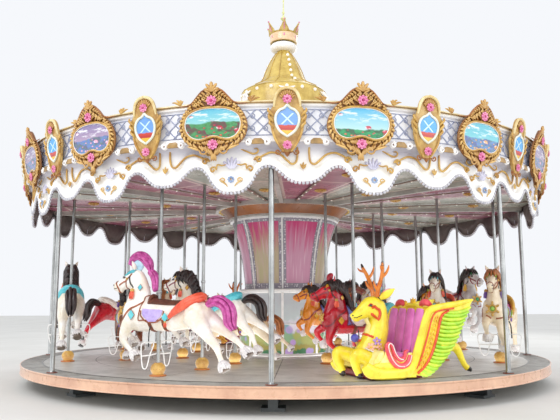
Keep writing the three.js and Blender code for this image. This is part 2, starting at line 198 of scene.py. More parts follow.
def plate(outline, front, back, bevel=0.0, rounds=2):
    """Flat plate from an outline of (x, z), its face towards -Y, between the depths front and back"""
    made = drawn([(x, back, z) for x, z in outline], closed=True)
    edit(
        made,
        (bpy.ops.mesh.remove_doubles, {"threshold": 0.0002}),
        (bpy.ops.mesh.edge_face_add, {}),
        (bpy.ops.mesh.extrude_region_move, {"TRANSFORM_OT_translate": {"value": (0, front - back, 0)}}),
        (bpy.ops.mesh.select_all, {"action": "SELECT"}),
        (bpy.ops.mesh.normals_make_consistent, {"inside": False}),
    )
    if bevel:
        sharp = math.radians(50)
        modified(made, "BEVEL", width=bevel, segments=rounds, limit_method="ANGLE", angle_limit=sharp)
    return rounded(made, 50)


def ball(centre, size, segments=12, rings=8):
    """Rounded lump: a sphere stretched to the three half sizes"""
    deselect()
    bpy.ops.mesh.primitive_uv_sphere_add(segments=segments, ring_count=rings, radius=1.0)
    lump = bpy.context.object
    lump.data.transform(Matrix.Translation(centre) @ Matrix.Diagonal((*size, 1.0)))
    pick(lump)
    bpy.ops.object.shade_smooth()
    return lump


def joined(objects):
    """Joins the objects into the first one"""
    objects = [o for o in objects if o]
    pick(*objects)
    if len(objects) > 1:
        bpy.ops.object.join()
    return bpy.context.object


def copied(obj, matrix):
    """A copy with its own mesh, moved by the matrix"""
    pick(obj)
    bpy.ops.object.duplicate(linked=False)
    twin = bpy.context.object
    twin.data.transform(matrix)
    if matrix.determinant() < 0:
        twin.data.flip_normals()
    return twin


def moved(obj, matrix):
    """Moves the mesh itself by the matrix"""
    obj.data.transform(matrix)
    if matrix.determinant() < 0:
        obj.data.flip_normals()
    return obj


def at(x=0.0, y=0.0, z=0.0):
    """Shift by x, y and z"""
    return Matrix.Translation((x, y, z))


def spun(angle, axis="Z"):
    """Turn about an axis, in radians"""
    return Matrix.Rotation(angle, 4, axis)


def on_circle(radius, azimuth, z=0.0):
    """Point at a radius and an azimuth about the ride's axis, counted from the front"""
    return radius * math.sin(azimuth), -radius * math.cos(azimuth), z


def sided(stations, side):
    """Stations with x turned to the side, -1 or 1"""
    return [(side * x, *rest) for x, *rest in stations]


def flanked(stations, side):
    """Stations with y turned to the side, -1 or 1"""
    return [(x, side * y, *rest) for x, y, *rest in stations]


def removed(*objects):
    """Deletes templates once their copies are made"""
    for obj in objects:
        bpy.data.objects.remove(obj)


def round_ring(obj, count, start):
    """Repeats a piece that stands at the front, turned about the axis from azimuth start"""
    step = 2 * math.pi / count
    rest = [copied(obj, spun(start + k * step)) for k in range(1, count)]
    moved(obj, spun(start))
    return joined([obj, *rest])


def wrap_round(obj, radius):
    """Bends a flat piece at the front round the axis: x runs along the arc, -y is outward"""
    for v in obj.data.vertices:
        x, y, z = v.co
        azimuth = x / radius
        v.co = ((radius - y) * math.sin(azimuth), -(radius - y) * math.cos(azimuth), z)
    return obj


def painted(obj, *materials):
    """Gives the object these materials in place of any that it has"""
    obj.data.materials.clear()
    for material in materials:
        obj.data.materials.append(material)
    return obj


def banded(obj, low, high):
    """Gives the faces between two heights the second of the object's materials, and the others the first"""
    for face in obj.data.polygons:
        face.material_index = 1 if low < face.center.z < high else 0
    return obj


def placed(obj, name, body, slot, *nodes):
    """Names a finished piece, mounts it on its body and lets it stand for its CAD nodes"""
    name_it(obj, name)
    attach(obj, body)
    if nodes:
        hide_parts(*nodes)
    return obj


# Materials


def rgb(code):
    """Linear colour of an sRGB hex code"""
    values = [int(code[i:i + 2], 16) / 255 for i in (1, 3, 5)]
    return (*[v / 12.92 if v <= 0.04045 else ((v + 0.055) / 1.055) ** 2.4 for v in values], 1.0)


def node(tree, kind, sockets=(), out=0, **settings):
    """Adds a shader node with its settings and its sockets' values or links; gives back an output, or all"""
    made = tree.nodes.new("ShaderNode" + kind)
    for name, value in settings.items():
        setattr(made, name, value)
    for name, value in sockets.items() if isinstance(sockets, dict) else enumerate(sockets):
        if isinstance(value, bpy.types.NodeSocket):
            tree.links.new(value, made.inputs[name])
        else:
            made.inputs[name].default_value = rgb(value) if isinstance(value, str) else value
    return made.outputs if out is None else made.outputs[out]


def blank(name):
    """A new material, the function that adds nodes to it, and its object coordinates"""
    material = bpy.data.materials.new(name)
    material.use_nodes = True
    material.node_tree.nodes.clear()
    add = partial(node, material.node_tree)
    return material, add, add("TexCoord", out="Object")


def finished(material, tone, rough, bump=None, **looks):
    """Closes a material: colour, roughness, bump (height, strength, distance) and the shader's other looks"""
    tree = material.node_tree
    sockets = {"Base Color": tone, "Roughness": rough}
    sockets.update({name.replace("_", " ").title(): value for name, value in looks.items()})
    if bump:
        height, strength, distance = bump
        sockets["Normal"] = node(tree, "Bump", {"Height": height, "Strength": strength, "Distance": distance})
    node(tree, "OutputMaterial", (node(tree, "BsdfPrincipled", sockets),), None)
    return material


def layered(add, tone, *layers):
    """Lays colours over a tone, each through its own mask"""
    for mask, colour in layers:
        tone = add("Mix", {0: mask, 6: tone, 7: colour}, 2, data_type="RGBA")
    return tone


def grain(add, place, scale, detail=3.0, rough=0.55, levels=None):
    """Noise of so many spots a metre, spread between two levels where they are given"""
    spots = add("TexNoise", {"Vector": place, "Scale": scale, "Detail": detail, "Roughness": rough})
    return add("MapRange", (spots, *levels)) if levels else spots


def wavering(add, value, spots, amount):
    """A value that is pushed up and down by noise"""
    swing = add("Math", (add("Math", (spots, 0.5), operation="SUBTRACT"), amount), operation="MULTIPLY")
    return add("Math", (value, swing), operation="ADD")


def azimuth_of(add, place):
    """A point's azimuth about the ride's axis, in radians from the front, with its radius and its height"""
    x, y, z = add("SeparateXYZ", (place,), None)
    back = add("Math", (y, -1.0), operation="MULTIPLY")
    squares = [add("Math", (side, side), operation="MULTIPLY") for side in (x, back)]
    radius = add("Math", (add("Math", squares, operation="ADD"),), operation="SQRT")
    return add("Math", (x, back), operation="ARCTAN2"), radius, z


def ring_lines(add, mask, radius, rings, fade):
    """Adds round lines at these radii to a mask; half a line's width fades between two sizes"""
    for ring in rings:
        off = add("Math", (add("Math", (radius, ring), operation="SUBTRACT"),), operation="ABSOLUTE")
        mask = add("Math", (mask, add("MapRange", (off, *fade, 1.0, 0.0))), operation="MAXIMUM")
    return mask


def sprayed(name, light, dark, rough=0.3, coat=0.4, patch=2.5, peel=0.25):
    """Sprayed lacquer on moulded resin: soft fading between two tones, dull specks and a fine orange peel"""
    if name in bpy.data.materials:
        return bpy.data.materials[name]
    material, add, place = blank(name)
    fade = grain(add, place, patch, 4.0, 0.65, (0.38, 0.64))
    speck = grain(add, place, 34.0, 6.0, 0.7, (0.6, 0.74, 0.0, 0.35))
    tone = layered(add, light, (fade, dark), (speck, dark))
    dull = grain(add, place, 9.0, levels=(0.3, 0.7, rough * 0.75, min(1.0, rough * 1.35)))
    bump = grain(add, place, 220.0, 2.0), peel, 0.0012
    return finished(material, tone, dull, bump, coat_weight=coat, coat_roughness=0.12)


def metal(name, light, dark, rough=0.28, run=(90.0, 90.0, 2.5), bump=0.3):
    """Drawn metal: fine lines along the bar, with duller handled patches"""
    if name in bpy.data.materials:
        return bpy.data.materials[name]
    material, add, place = blank(name)
    lines = grain(add, add("Mapping", {"Vector": place, "Scale": run}), 6.0, 3.0, 0.6)
    tone = layered(add, light, (grain(add, place, 3.0, 4.0, 0.6, (0.35, 0.7)), dark))
    dull = add("MapRange", (lines, 0.25, 0.75, rough * 0.7, rough * 1.5))
    return finished(material, tone, dull, (lines, bump, 0.0008), metallic=1.0)


def stainless():
    """Polished steel tube of the poles"""
    return metal("polished_steel", "#B4B6B5", "#8A8C8B", 0.28, (60.0, 60.0, 1.5), 0.2)


def deck_metal():
    """Grey painted steel deck: plate joints, scuffed walkways and a pattern of small raised bars"""
    material, add, place = blank("deck_plate_paint")
    angle, radius, _ = azimuth_of(add, place)
    turn = add("Math", (add("Math", (angle, -POLE_AZ), operation="ADD"), BAY / 2, -BAY / 2), operation="WRAP")
    off = add("Math", (add("Math", (turn,), operation="ABSOLUTE"), radius), operation="MULTIPLY")
    seam = (0.004, 0.008)
    joint = add("MapRange", (off, *seam, 1.0, 0.0))
    joint = ring_lines(add, joint, radius, (1.42, 2.42, 3.38), seam)
    scuff = grain(add, place, 1.6, 6.0, 0.7, (0.4, 0.7))
    grit = grain(add, place, 45.0, 4.0, 0.7, (0.55, 0.75, 0.0, 0.5))
    tone = layered(add, "#C6C5C0", (scuff, "#ABAAA5"), (grit, "#918F8A"), (joint, "#46443F"))
    bars = add("TexVoronoi", {"Vector": place, "Scale": 26.0}, "Distance", feature="F1")
    height = add("Math", (add("MapRange", (bars, 0.1, 0.3, 0.25, 0.0)), joint), operation="SUBTRACT")
    dull = add("MapRange", (scuff, 0.0, 1.0, 0.34, 0.55))
    return finished(material, tone, dull, (height, 0.35, 0.003), metallic=0.15)


def sector_of(add, angle, width):
    """How many sectors of a width lie between the rear pole line and a point's azimuth"""
    return add("Math", (add("Math", (angle, math.pi - POLE_AZ), operation="ADD"), width), operation="DIVIDE")


def ceiling_panels():
    """Ceiling of glossy panels, mauve and grey-green by turns, with pale borders and a soft painted cloud"""
    material, add, place = blank("ceiling_panel_paint")
    angle, radius, _ = azimuth_of(add, place)
    sector = sector_of(add, angle, BAY)
    odd = add("Math", (add("Math", (sector,), operation="FLOOR"), 2.0), operation="MODULO")
    cloud = grain(add, place, 2.2, 5.0, 0.65, (0.35, 0.68))
    mauve = layered(add, "#A8657A", (cloud, "#874D5F"))
    green = layered(add, "#ADA99D", (cloud, "#8E9186"))
    share = add("Math", (add("Math", (sector,), operation="FRACT"), 0.5), operation="SUBTRACT")
    margin = add("Math", (0.5, add("Math", (share,), operation="ABSOLUTE")), operation="SUBTRACT")
    edge = add("Math", (margin, add("Math", (radius, BAY), operation="MULTIPLY")), operation="MULTIPLY")
    inside = add("MapRange", (edge, 0.03, 0.036))
    border = add("Math", (inside, add("MapRange", (edge, 0.075, 0.081, 1.0, 0.0))), operation="MULTIPLY")
    border = ring_lines(add, border, radius, (1.6, 2.9, 4.1), (0.02, 0.026))
    pale = add("Math", (border, 0.75), operation="MULTIPLY")
    tone = layered(add, mauve, (odd, green), (pale, "#D8C2B8"))
    dull = add("MapRange", (cloud, 0.0, 1.0, 0.22, 0.36))
    return finished(material, tone, dull, (grain(add, place, 60.0), 0.15, 0.002))


def landscape(name, sky, haze, field, accent, shade, horizon):
    """Painted picture on its own UV: sky, haze, rolling field, thicket and blossom under clear varnish"""
    if name in bpy.data.materials:
        return bpy.data.materials[name]
    material, add, place = blank(name)
    uv = add("UVMap", uv_map="picture")
    up = add("SeparateXYZ", (uv,), 1)
    hill = wavering(add, up, grain(add, uv, 2.2), 0.35)
    wide = add("Mapping", {"Vector": uv, "Scale": (3.0, 7.0, 1.0)})
    cloud = grain(add, wide, 1.0, 5.0, 0.6, (0.52, 0.62, 0.0, 0.85))
    cloud = add("Math", (cloud, add("MapRange", (up, 0.45, 0.6))), operation="MULTIPLY")
    thicket = grain(add, uv, 3.4, 2.0, levels=(0.47, 0.53))
    leaves = grain(add, uv, 15.0, 4.0, levels=(0.42, 0.62, 0.0, 0.6))
    near = layered(add, field, (thicket, shade), (leaves, "#3F6E46"))
    figures = add("TexVoronoi", {"Vector": uv, "Scale": 3.1, "Randomness": 1.0}, "Distance")
    dots = add("TexVoronoi", {"Vector": uv, "Scale": 9.0, "Randomness": 1.0}, "Distance")
    low = add("MapRange", (hill, horizon + 0.05, horizon - 0.10))
    bloom = add("Math", (add("MapRange", (dots, 0.20, 0.26, 1.0, 0.0)), low), operation="MULTIPLY")
    heart = add("Math", (add("MapRange", (dots, 0.07, 0.1, 1.0, 0.0)), bloom), operation="MULTIPLY")
    tone = layered(
        add, haze, (add("MapRange", (up, 0.25, 0.95)), sky), (cloud, "#F7FAFC"),
        (add("MapRange", (hill, horizon, horizon - 0.03)), near),
        (add("MapRange", (figures, 0.15, 0.19, 1.0, 0.0)), layered(add, "#F4E7EE", (thicket, accent))),
        (bloom, accent), (heart, "#F6D14B"),
    )
    return finished(material, tone, 0.22, (grain(add, place, 90.0), 0.12, 0.001), coat_weight=0.5)


def give_uv(obj, mapping):
    """Writes the picture's UV from each vertex's place"""
    layer = obj.data.uv_layers.get("picture") or obj.data.uv_layers.new(name="picture")
    for loop in obj.data.loops:
        layer.data[loop.index].uv = mapping(obj.data.vertices[loop.vertex_index].co)
    return obj


def valance_gel():
    """White gel coat with a lilac-grey painted shade in the hollow under the cornice"""
    material, add, place = blank("valance_shaded_gel")
    height = add("SeparateXYZ", (place,), 2)
    # Painted shade: the cove up to the cornice turns lilac-grey, as it lies in shadow; it fades out lower
    # down, with a wavering edge
    hollow = add("MapRange", (wavering(add, height, grain(add, place, 3.0, 4.0), 0.10), 3.02, 3.20))
    tone = layered(add, "#FBFAF6", (hollow, "#C9C7D2"))
    dull = add("MapRange", (hollow, 0.0, 1.0, 0.28, 0.42))
    return finished(material, tone, dull, (grain(add, place, 70.0), 0.1, 0.001), coat_weight=0.3)


def carved_gold():
    """Gilded carving of the frames: orange-brown painted shade in the hollows, pale gold as a painted
    highlight on what stands proud
    """
    if "carved_gold" in bpy.data.materials:
        return bpy.data.materials["carved_gold"]
    material, add, place = blank("carved_gold")
    _, radius, height = azimuth_of(add, place)
    above = add("Math", (height, FRAME_Z), operation="SUBTRACT")
    plane = add("Math", (above, FRAME_LEAN_RISE, FRAME_R), operation="MULTIPLY_ADD")
    proud = add("Math", (radius, plane), operation="SUBTRACT")
    level = wavering(add, proud, grain(add, place, 18.0, 4.0), 0.030)
    # Painted shade and highlight: the colour runs from dark orange-brown where the carving lies deep to pale
    # gold where it stands proud
    tone = layered(
        add, "#7A4A1D", (add("MapRange", (level, 0.012, 0.036)), "#AB7836"),
        (add("MapRange", (level, 0.034, 0.062)), "#DFB871"),
    )
    dull = add("MapRange", (level, 0.0, 0.06, 0.55, 0.3))
    return finished(material, tone, dull, (grain(add, place, 160.0), 0.4, 0.0012), coat_weight=0.25)


def lamp_glass():
    """Milky lamp cap: bright, a little see-through to the eye"""
    if "lamp_glass" in bpy.data.materials:
        return bpy.data.materials["lamp_glass"]
    material, add, place = blank("lamp_glass")
    tone = layered(add, "#FFFDF7", (grain(add, place, 40.0, levels=(0.35, 0.65)), "#F1ECDD"))
    return finished(
        material, tone, 0.12, (grain(add, place, 120.0, 2.0), 0.05, 0.0006), coat_weight=0.6,
        subsurface_weight=0.15, emission_color="#FFF6E4", emission_strength=0.12,
    )


def column_murals():
    """Column picture panels: a soft meadow and sky, painted by height and azimuth"""
    material, add, place = blank("column_mural_paint")
    angle, _, height = azimuth_of(add, place)
    round_it = add("CombineXYZ", (add("Math", (angle, 0.83), operation="MULTIPLY"), height, 0.0))
    up = wavering(add, height, grain(add, round_it, 3.5, 4.0, 0.6), 0.5)
    patch = grain(add, round_it, 2.1, 2.0, levels=(0.46, 0.54))
    dots = add("TexVoronoi", {"Vector": round_it, "Scale": 5.0, "Randomness": 1.0}, None)
    spot = add("MapRange", (dots["Distance"], 0.34, 0.42, 1.0, 0.0))
    spot = add("Math", (spot, add("MapRange", (up, 1.05, 0.8))), operation="MULTIPLY")
    petals = layered(add, "#B79AD6", (add("MapRange", (dots["Color"], 0.3, 0.7)), "#7FB6DC"))
    tone = layered(
        add, "#BAC9CA", (add("MapRange", (up, 0.9, 1.35)), "#AEB3B8"),
        (add("MapRange", (up, 1.02, 0.94)), layered(add, "#DDD8E6", (patch, "#7FA9B4"))),
        (add("MapRange", (up, 0.82, 0.76)), layered(add, "#A9B06A", (patch, "#86AE86"))),
        (add("MapRange", (up, 0.62, 0.57)), "#9C954F"), (add("MapRange", (up, 0.48, 0.45)), "#3E7A55"),
        (spot, petals),
    )
    return finished(material, tone, 0.28, (grain(add, place, 80.0), 0.1, 0.001))


def flare_panels():
    """Flared housing panels: rose fading to straw, with soft folds like a hanging"""
    material, add, place = blank("flare_panel_paint")
    angle, _, height = azimuth_of(add, place)
    around = add("Math", (angle, 9.0), operation="MULTIPLY")
    folds = add("CombineXYZ", (around, add("Math", (height, 0.7), operation="MULTIPLY"), 0.0))
    fold = grain(add, folds, 2.0, 3.0, 0.6)
    panel = add("Math", (sector_of(add, angle, BAY * 2),), operation="FLOOR")
    odd = add("Math", (panel, 2.0), operation="MODULO")
    rise = add("Math", (height, fold), operation="ADD")
    bloom = add("TexVoronoi", {"Vector": folds, "Scale": 2.3, "Randomness": 1.0}, "Distance")
    tone = layered(
        add, "#C58FA9", (odd, "#B3AC84"), (add("MapRange", (fold, 0.35, 0.75, 0.0, 0.5)), "#CFA3B8"),
        (add("MapRange", (rise, 2.7, 3.2)), "#C2487A"),
        (add("MapRange", (bloom, 0.12, 0.34, 0.55, 0.0)), "#D9BFCB"),
    )
    return finished(material, tone, 0.25, (fold, 0.15, 0.004))


def patterned_border():
    """Grey-lilac printed border between the panels"""
    material, add, place = blank("patterned_border_paint")
    cells = add("TexVoronoi", {"Vector": place, "Scale": 24.0, "Randomness": 0.5}, "Distance")
    tone = layered(add, "#D9D6DB", (add("MapRange", (cells, 0.22, 0.42)), "#8B8793"))
    return finished(material, tone, 0.35, (cells, 0.2, 0.002))


def emblem_paint(name, top):
    """Enamel shield: blue over red and yellow bands, with two crossed pale bars"""
    if name in bpy.data.materials:
        return bpy.data.materials[name]
    material, add, _ = blank(name)
    uv = add("UVMap", uv_map="picture")
    across, up, _ = add("SeparateXYZ", (uv,), None)
    spots = grain(add, uv, 5.0, 4.0)
    wave = wavering(add, up, spots, 0.08)
    x = add("Math", (add("Math", (across, 0.5), operation="SUBTRACT"), 0.73), operation="MULTIPLY")
    z = add("Math", (up, 0.56), operation="SUBTRACT")
    bars = [
        add("Math", (add("Math", (x, z), operation=operation),), operation="ABSOLUTE")
        for operation in ("ADD", "SUBTRACT")
    ]
    cross = add("MapRange", (add("Math", bars, operation="MINIMUM"), 0.026, 0.042, 1.0, 0.0))
    reach = add("MapRange", (add("Math", (z,), operation="ABSOLUTE"), 0.18, 0.20, 1.0, 0.0))
    tone = layered(
        add, top, (add("MapRange", (wave, 0.36, 0.33)), "#C8402E"),
        (add("MapRange", (wave, 0.27, 0.24)), "#B8322E"),
        (add("MapRange", (wave, 0.18, 0.15)), "#E9B93A"),
        (add("Math", (cross, reach), operation="MULTIPLY"), "#C9E6F6"),
    )
    return finished(material, tone, 0.2, (spots, 0.08, 0.002), coat_weight=0.5)


def eye_glass():
    """Glossy black eye"""
    if "eye_glass" in bpy.data.materials:
        return bpy.data.materials["eye_glass"]
    material, add, place = blank("eye_glass")
    tone = layered(add, "#17100E", (grain(add, place, 30.0, 2.0, levels=(0.35, 0.65)), "#2A1B15"))
    return finished(material, tone, 0.06, coat_weight=1.0)


def vinyl(name, light, dark):
    """Upholstery vinyl: soft broad folds, a fine grain and a dull sheen"""
    material, add, place = blank("vinyl_" + name)
    fold = grain(add, place, 5.0, 3.0, 0.6, (0.35, 0.68))
    dull = add("MapRange", (fold, 0.0, 1.0, 0.38, 0.52))
    pores = add("TexVoronoi", {"Vector": place, "Scale": 420.0}, "Distance", feature="DISTANCE_TO_EDGE")
    height = add("Math", (pores, add("Math", (fold, 2.0), operation="MULTIPLY")), operation="ADD")
    tone = layered(add, light, (fold, dark))
    return finished(material, tone, dull, (height, 0.3, 0.002), sheen_weight=0.25)


def floor_paint():
    """Pale smooth floor with a faint cloud"""
    material, add, place = blank("pale_floor_paint")
    tone = layered(add, "#E3E2DE", (grain(add, place, 0.5, 5.0, 0.6, (0.3, 0.7)), "#D8D7D2"))
    return finished(material, tone, 0.85)


def coat(name):
    """Glossy coat of an animal"""
    return sprayed("coat_" + name, *COATS[name], 0.28, 0.5, 3.2, 0.2)


def paint(name):
    """Brushed paint of tack and ornament, a little uneven"""
    return sprayed("paint_" + name, *PAINTS[name], 0.34, 0.35, 8.0, 0.3)


def hair(name):
    """Moulded hair: long fine grooves under one colour, darker in random patches"""
    return sprayed("hair_" + name, *HAIRS[name], 0.4, 0.25, 16.0, 0.5)


def leather(name):
    """Painted leather look: creased, dull at the folds"""
    return sprayed("leather_" + name, *LEATHERS[name], 0.5, 0.1, 20.0, 0.7)


LACQUERS = {  # light and dark tone, roughness, coat, patches a metre and orange peel
    "white_gel_coat": ("#FAF8F6", "#E9E7E8", 0.3, 0.45, 1.6),
    "gold_leaf_paint": ("#D3AB59", "#AC7A33", 0.34, 0.3, 7.0, 0.4),
    # A darker copy of the gold leaf: painted shade, given to scrolls, sweeps, rings, a tip and rosette hearts
    "gold_hollow_wash": ("#A8692A", "#7A451B", 0.45, 0.2, 9.0, 0.4),
    "rose_paint": ("#F09CC0", "#DB6DA2", 0.35, 0.3, 12.0),
    "chassis_paint": ("#5A5F60", "#3F4446", 0.45, 0.15, 3.0),
    "worn_tread_coating": ("#A19E97", "#827F78", 0.5, 0.1, 3.0),
    "orange_flange_paint": ("#D98A4A", "#B4622C", 0.4, 0.3, 6.0),
    "foot_flange_paint": ("#8B4A34", "#6A3424", 0.45, 0.2, 8.0),
    "column_ring_white": ("#ECECEA", "#D5D6D6", 0.3, 0.4, 2.0),
    "amber_panel_paint": ("#9A5A22", "#6E3A12", 0.35, 0.15, 1.4),
    "grey_ring_paint": ("#BDBBB6", "#A5A39E", 0.3, 0.3, 2.0),
    "amber_lamp_cap": ("#F7DE8E", "#E9C468", 0.2, 0.5, 8.0),
    "arm_grey_paint": ("#B5B1AB", "#8F8B86", 0.4, 0.2, 2.0),
    "batten_brown_paint": ("#8A6F62", "#6B5348", 0.4, 0.2, 3.0),
    # Brown gold of the top rail, also the painted shadow of the hem ring and of the arch between the volutes
    "rail_brown_gold": ("#B48F55", "#84673A", 0.35, 0.3, 6.0),
    "lattice_ground_lilac": ("#F4F4F6", "#DFE0E8", 0.35, 0.3, 3.0),
    "coping_cream": ("#EFE3BE", "#D8C48E", 0.35, 0.3, 5.0),
    "lattice_blue_grey": ("#A9AFC6", "#8A91AE", 0.35, 0.3, 10.0),
    "stud_brown": ("#8C6A58", "#6A4C3E", 0.35, 0.3, 9.0),
    "rose_heart_paint": ("#C23B78", "#A32A62", 0.4, 0.2, 20.0),
    "pale_gold_paint": ("#CDAA62", "#A67A3A", 0.34, 0.3, 9.0),
    "shell_gold_paint": ("#EBDAA6", "#D3B572", 0.34, 0.3, 6.0),
    "pale_rim_paint": ("#EEF0E6", "#D6DCC8", 0.3, 0.3, 8.0),
    "valance_back_wash": ("#6A5D5A", "#4F4443", 0.6, 0.0, 2.0),
    "scroll_pale_gold": ("#DDBB77", "#C79C55", 0.35, 0.3, 9.0),
    "palmette_lilac": ("#DCDAEA", "#BFBCD4", 0.35, 0.3, 8.0),
    "emblem_blue_grey": ("#A9BEDC", "#8A9FC4", 0.3, 0.3, 15.0),
    "fringe_bead_glass": ("#D9D8DE", "#A8A7B2", 0.15, 0.6, 12.0),
    "roof_cream_gel": ("#EFE7D6", "#D9CDB6", 0.4, 0.3, 1.2),
    "roof_rib_gold": ("#D9B25C", "#B98B3C", 0.35, 0.3, 5.0),
    "dome_gold_paint": ("#DDC268", "#B99A45", 0.33, 0.35, 3.5),
    "dome_rib_gold": ("#C7A54D", "#A17E34", 0.35, 0.3, 6.0),
    "crown_gold_paint": ("#CDB25E", "#A8873C", 0.32, 0.4, 9.0),
    "crown_cream_enamel": ("#F0D5B0", "#E3BE98", 0.3, 0.4, 6.0),
    "crown_pink_enamel": ("#E7A0B8", "#D27C9A", 0.3, 0.4, 9.0),
    "spire_lime_gilt": ("#E6E8A8", "#C4C582", 0.3, 0.4, 12.0),
    "foot_frame_white": ("#F2F2F0", "#D8D8D6", 0.3, 0.4, 5.0),
}


def lacquer(name):
    """The lacquer of this name in the table"""
    return sprayed(name, *LACQUERS[name])


white_gel = partial(lacquer, "white_gel_coat")
gold_light = partial(lacquer, "gold_leaf_paint")
# The darker gold below is a shaded copy of the gold leaf: painted shade
gold_shade = partial(lacquer, "gold_hollow_wash")
rose_paint = partial(lacquer, "rose_paint")


COATS = {
    "white": ("#F8F4EE", "#E6DAC2"), "cream": ("#F3E6CF", "#DDC7A2"), "brown": ("#8A5237", "#6B3A26"),
    "red": ("#D2182E", "#A30F22"), "orange": ("#EC9A26", "#CE7414"), "grey": ("#DAD7D4", "#A9A4A4"),
}
HAIRS = {
    "magenta": ("#D964B2", "#A8357F"), "dark": ("#3A2A28", "#1D1515"), "chestnut": ("#B5713E", "#8A4F28"),
    "red": ("#D3203A", "#8E1226"), "pale": ("#EFEBE8", "#C9C3C4"),
}
LEATHERS = {
    "brown": ("#8C4A2A", "#653019"), "black": ("#33302F", "#1C1A1A"), "saddle": ("#6E3B26", "#4A2415"),
    "red": ("#A3202F", "#741520"), "well_red": ("#8C2136", "#5E1424"),
}
PAINTS = {
    "ivory": ("#F6F1EA", "#E2D6C8"), "lilac": ("#C9B6E8", "#A993D4"), "coral": ("#F2694A", "#D84A2C"),
    "aqua": ("#6FD3DC", "#3FB4C4"), "tan": ("#A85A32", "#84431F"), "rose": ("#E88AB8", "#C8639A"),
    "sky": ("#7EC3E8", "#559FCC"), "gold": ("#E8B843", "#C48F26"), "lime": ("#A9D65A", "#7FB33A"),
    "violet": ("#8E6BC2", "#6A4A9E"), "slate": ("#8F9AD6", "#6B76B8"), "wine": ("#8E2436", "#6C1927"),
    "green": ("#3E9C62", "#2A7A49"), "hoof": ("#8B7B6E", "#5F5046"), "soot": ("#2D2424", "#171212"),
    "pale_aqua": ("#D5EEF6", "#A9D2E6"), "line": ("#3B2A26", "#241916"), "blush": ("#E9A3A0", "#D07F80"),
    "deer_yellow": ("#F6E63C", "#E5C92A"), "deer_wine": ("#9A2440", "#75172E"),
    "deer_pale": ("#F9F0A0", "#F0DC6A"), "deer_blush": ("#D98CA0", "#BE6A82"),
    "feather_lime": ("#BEE83E", "#93CF2B"), "feather_gold": ("#E8B843", "#C48F26"),
    "feather_green": ("#D9EC46", "#A8D832"), "feather_amber": ("#DE9A35", "#B97522"),
    "vermilion": ("#EE5A26", "#CE3B16"), "bright_gold": ("#F0C250", "#D19A2C"),
    "carved_yellow": ("#F5C832", "#DE9C22"), "swirl_coral": ("#F0606A", "#DB4050"),
    "swirl_white": ("#FBF2EE", "#EFDCD6"), "flower_heart": ("#F7D24A", "#E2AF2C"),
    "flower_lilac": ("#C9A2E2", "#AA7FCC"), "flower_peach": ("#F8C9A8", "#EFAE86"),
    "flower_white": ("#FAF4EC", "#EBDFD2"), "flower_mint": ("#5CCB9A", "#3BAA7B"),
    "flower_rose": ("#EE7FA8", "#DB5E8C"), "orb_blue": ("#5A55B8", "#403B96"),
    "antler_orange": ("#E98A2C", "#C9661A"), "ear_pink": ("#F3A0B8", "#E27C9C"),
    "piping": ("#F3B6DC", "#E08CC4"),
}


def lamp_row(places, radius, segments=8, rings=6):
    """Small round lamps at the given places"""
    cap = painted(ball((0, 0, 0), (radius, radius, radius), segments, rings), lamp_glass())
    lamps = [copied(cap, at(*place)) for place in places]
    removed(cap)
    return joined(lamps)


# Piece makers: platform


TREAD_IN = 4.245
TREAD_OUT = 4.555
TREAD_FOOT = 0.3103
GROOVE_Z = 0.3455
RIB_Z = 0.3502
RIM_PROFILE = [
    (4.562, 0.2052), (4.572, 0.2052), (4.576, 0.212), (4.574, 0.226), (4.566, 0.232), (4.566, 0.322),
    (4.576, 0.330), (4.578, 0.344), (4.572, 0.3498), (4.5605, 0.3498),
]
JOINT_PROFILE = [
    (4.222, 0.3505), (4.222, 0.3535), (4.226, 0.3555), (4.244, 0.3555), (4.248, 0.3535), (4.248, 0.3505),
]
GUIDE_PROFILE = [
    (0.0255, 0.3505), (0.112, 0.3505), (0.114, 0.36), (0.108, 0.368), (0.086, 0.372), (0.078, 0.380),
    (0.0955, 0.418), (0.101, 0.440), (0.0955, 0.472), (0.082, 0.498), (0.0585, 0.515), (0.056, 0.5225),
    (0.046, 0.5255), (0.0255, 0.5255),
]
GUIDE_FLANGE_Z = 0.374


def make_deck(settings):
    """Painted chassis and deck plate, tread ring with its ribs, edge band, joint strip and ball guides"""
    steel = lacquer("chassis_paint")
    for name in ("base_frame", "slewing_ring", "deck_frame"):
        painted(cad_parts[name], steel)
    painted(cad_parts["deck"], deck_metal())

    pitch = (TREAD_OUT - TREAD_IN) / settings.tread_ribs
    ribs = [(TREAD_IN - 0.009, TREAD_FOOT), (TREAD_IN - 0.009, 0.346)]
    for i in range(settings.tread_ribs):
        low = TREAD_IN + i * pitch
        for share, height in ((0, GROOVE_Z), (0.18, RIB_Z), (0.6, RIB_Z), (0.78, GROOVE_Z)):
            ribs.append((low + pitch * share, height))
    ribs += [(TREAD_OUT + 0.003, GROOVE_Z), (TREAD_OUT + 0.003, TREAD_FOOT)]
    rubber = lacquer("worn_tread_coating")
    placed(painted(turned(ribs), rubber), "tread_ring", "rotor", "steel", "deck_tread_ring")

    code = "#%02X%02X%02X" % tuple(round(channel * 255) for channel in settings.band_paint)
    peach = sprayed("peach_edge_paint", code, "#D2A388", 0.3, 0.4, 2.0)
    placed(painted(turned(RIM_PROFILE), peach), "deck_edge_band", "rotor", "peach_band", "deck_rim")
    strip = metal("trim_strip", "#8C8A86", "#6E6C69", 0.35)
    placed(painted(turned(JOINT_PROFILE), strip), "deck_joint_strip", "rotor", "steel")

    guide = turned(GUIDE_PROFILE, 24)
    painted(guide, gold_light(), lacquer("orange_flange_paint"))
    banded(guide, 0.0, GUIDE_FLANGE_Z)
    circle = [(0.0975 * math.cos(a), 0.0975 * math.sin(a), 0.442, 0.004) for a in SIXTEENTHS]
    guide = joined([guide, painted(tube(circle, 6, 1, True), gold_shade())])
    copies = [copied(guide, at(*seat["place"])) for seat in SEATS]
    removed(guide)
    placed(joined(copies), "pole_guides", "rotor", "gold_grp")


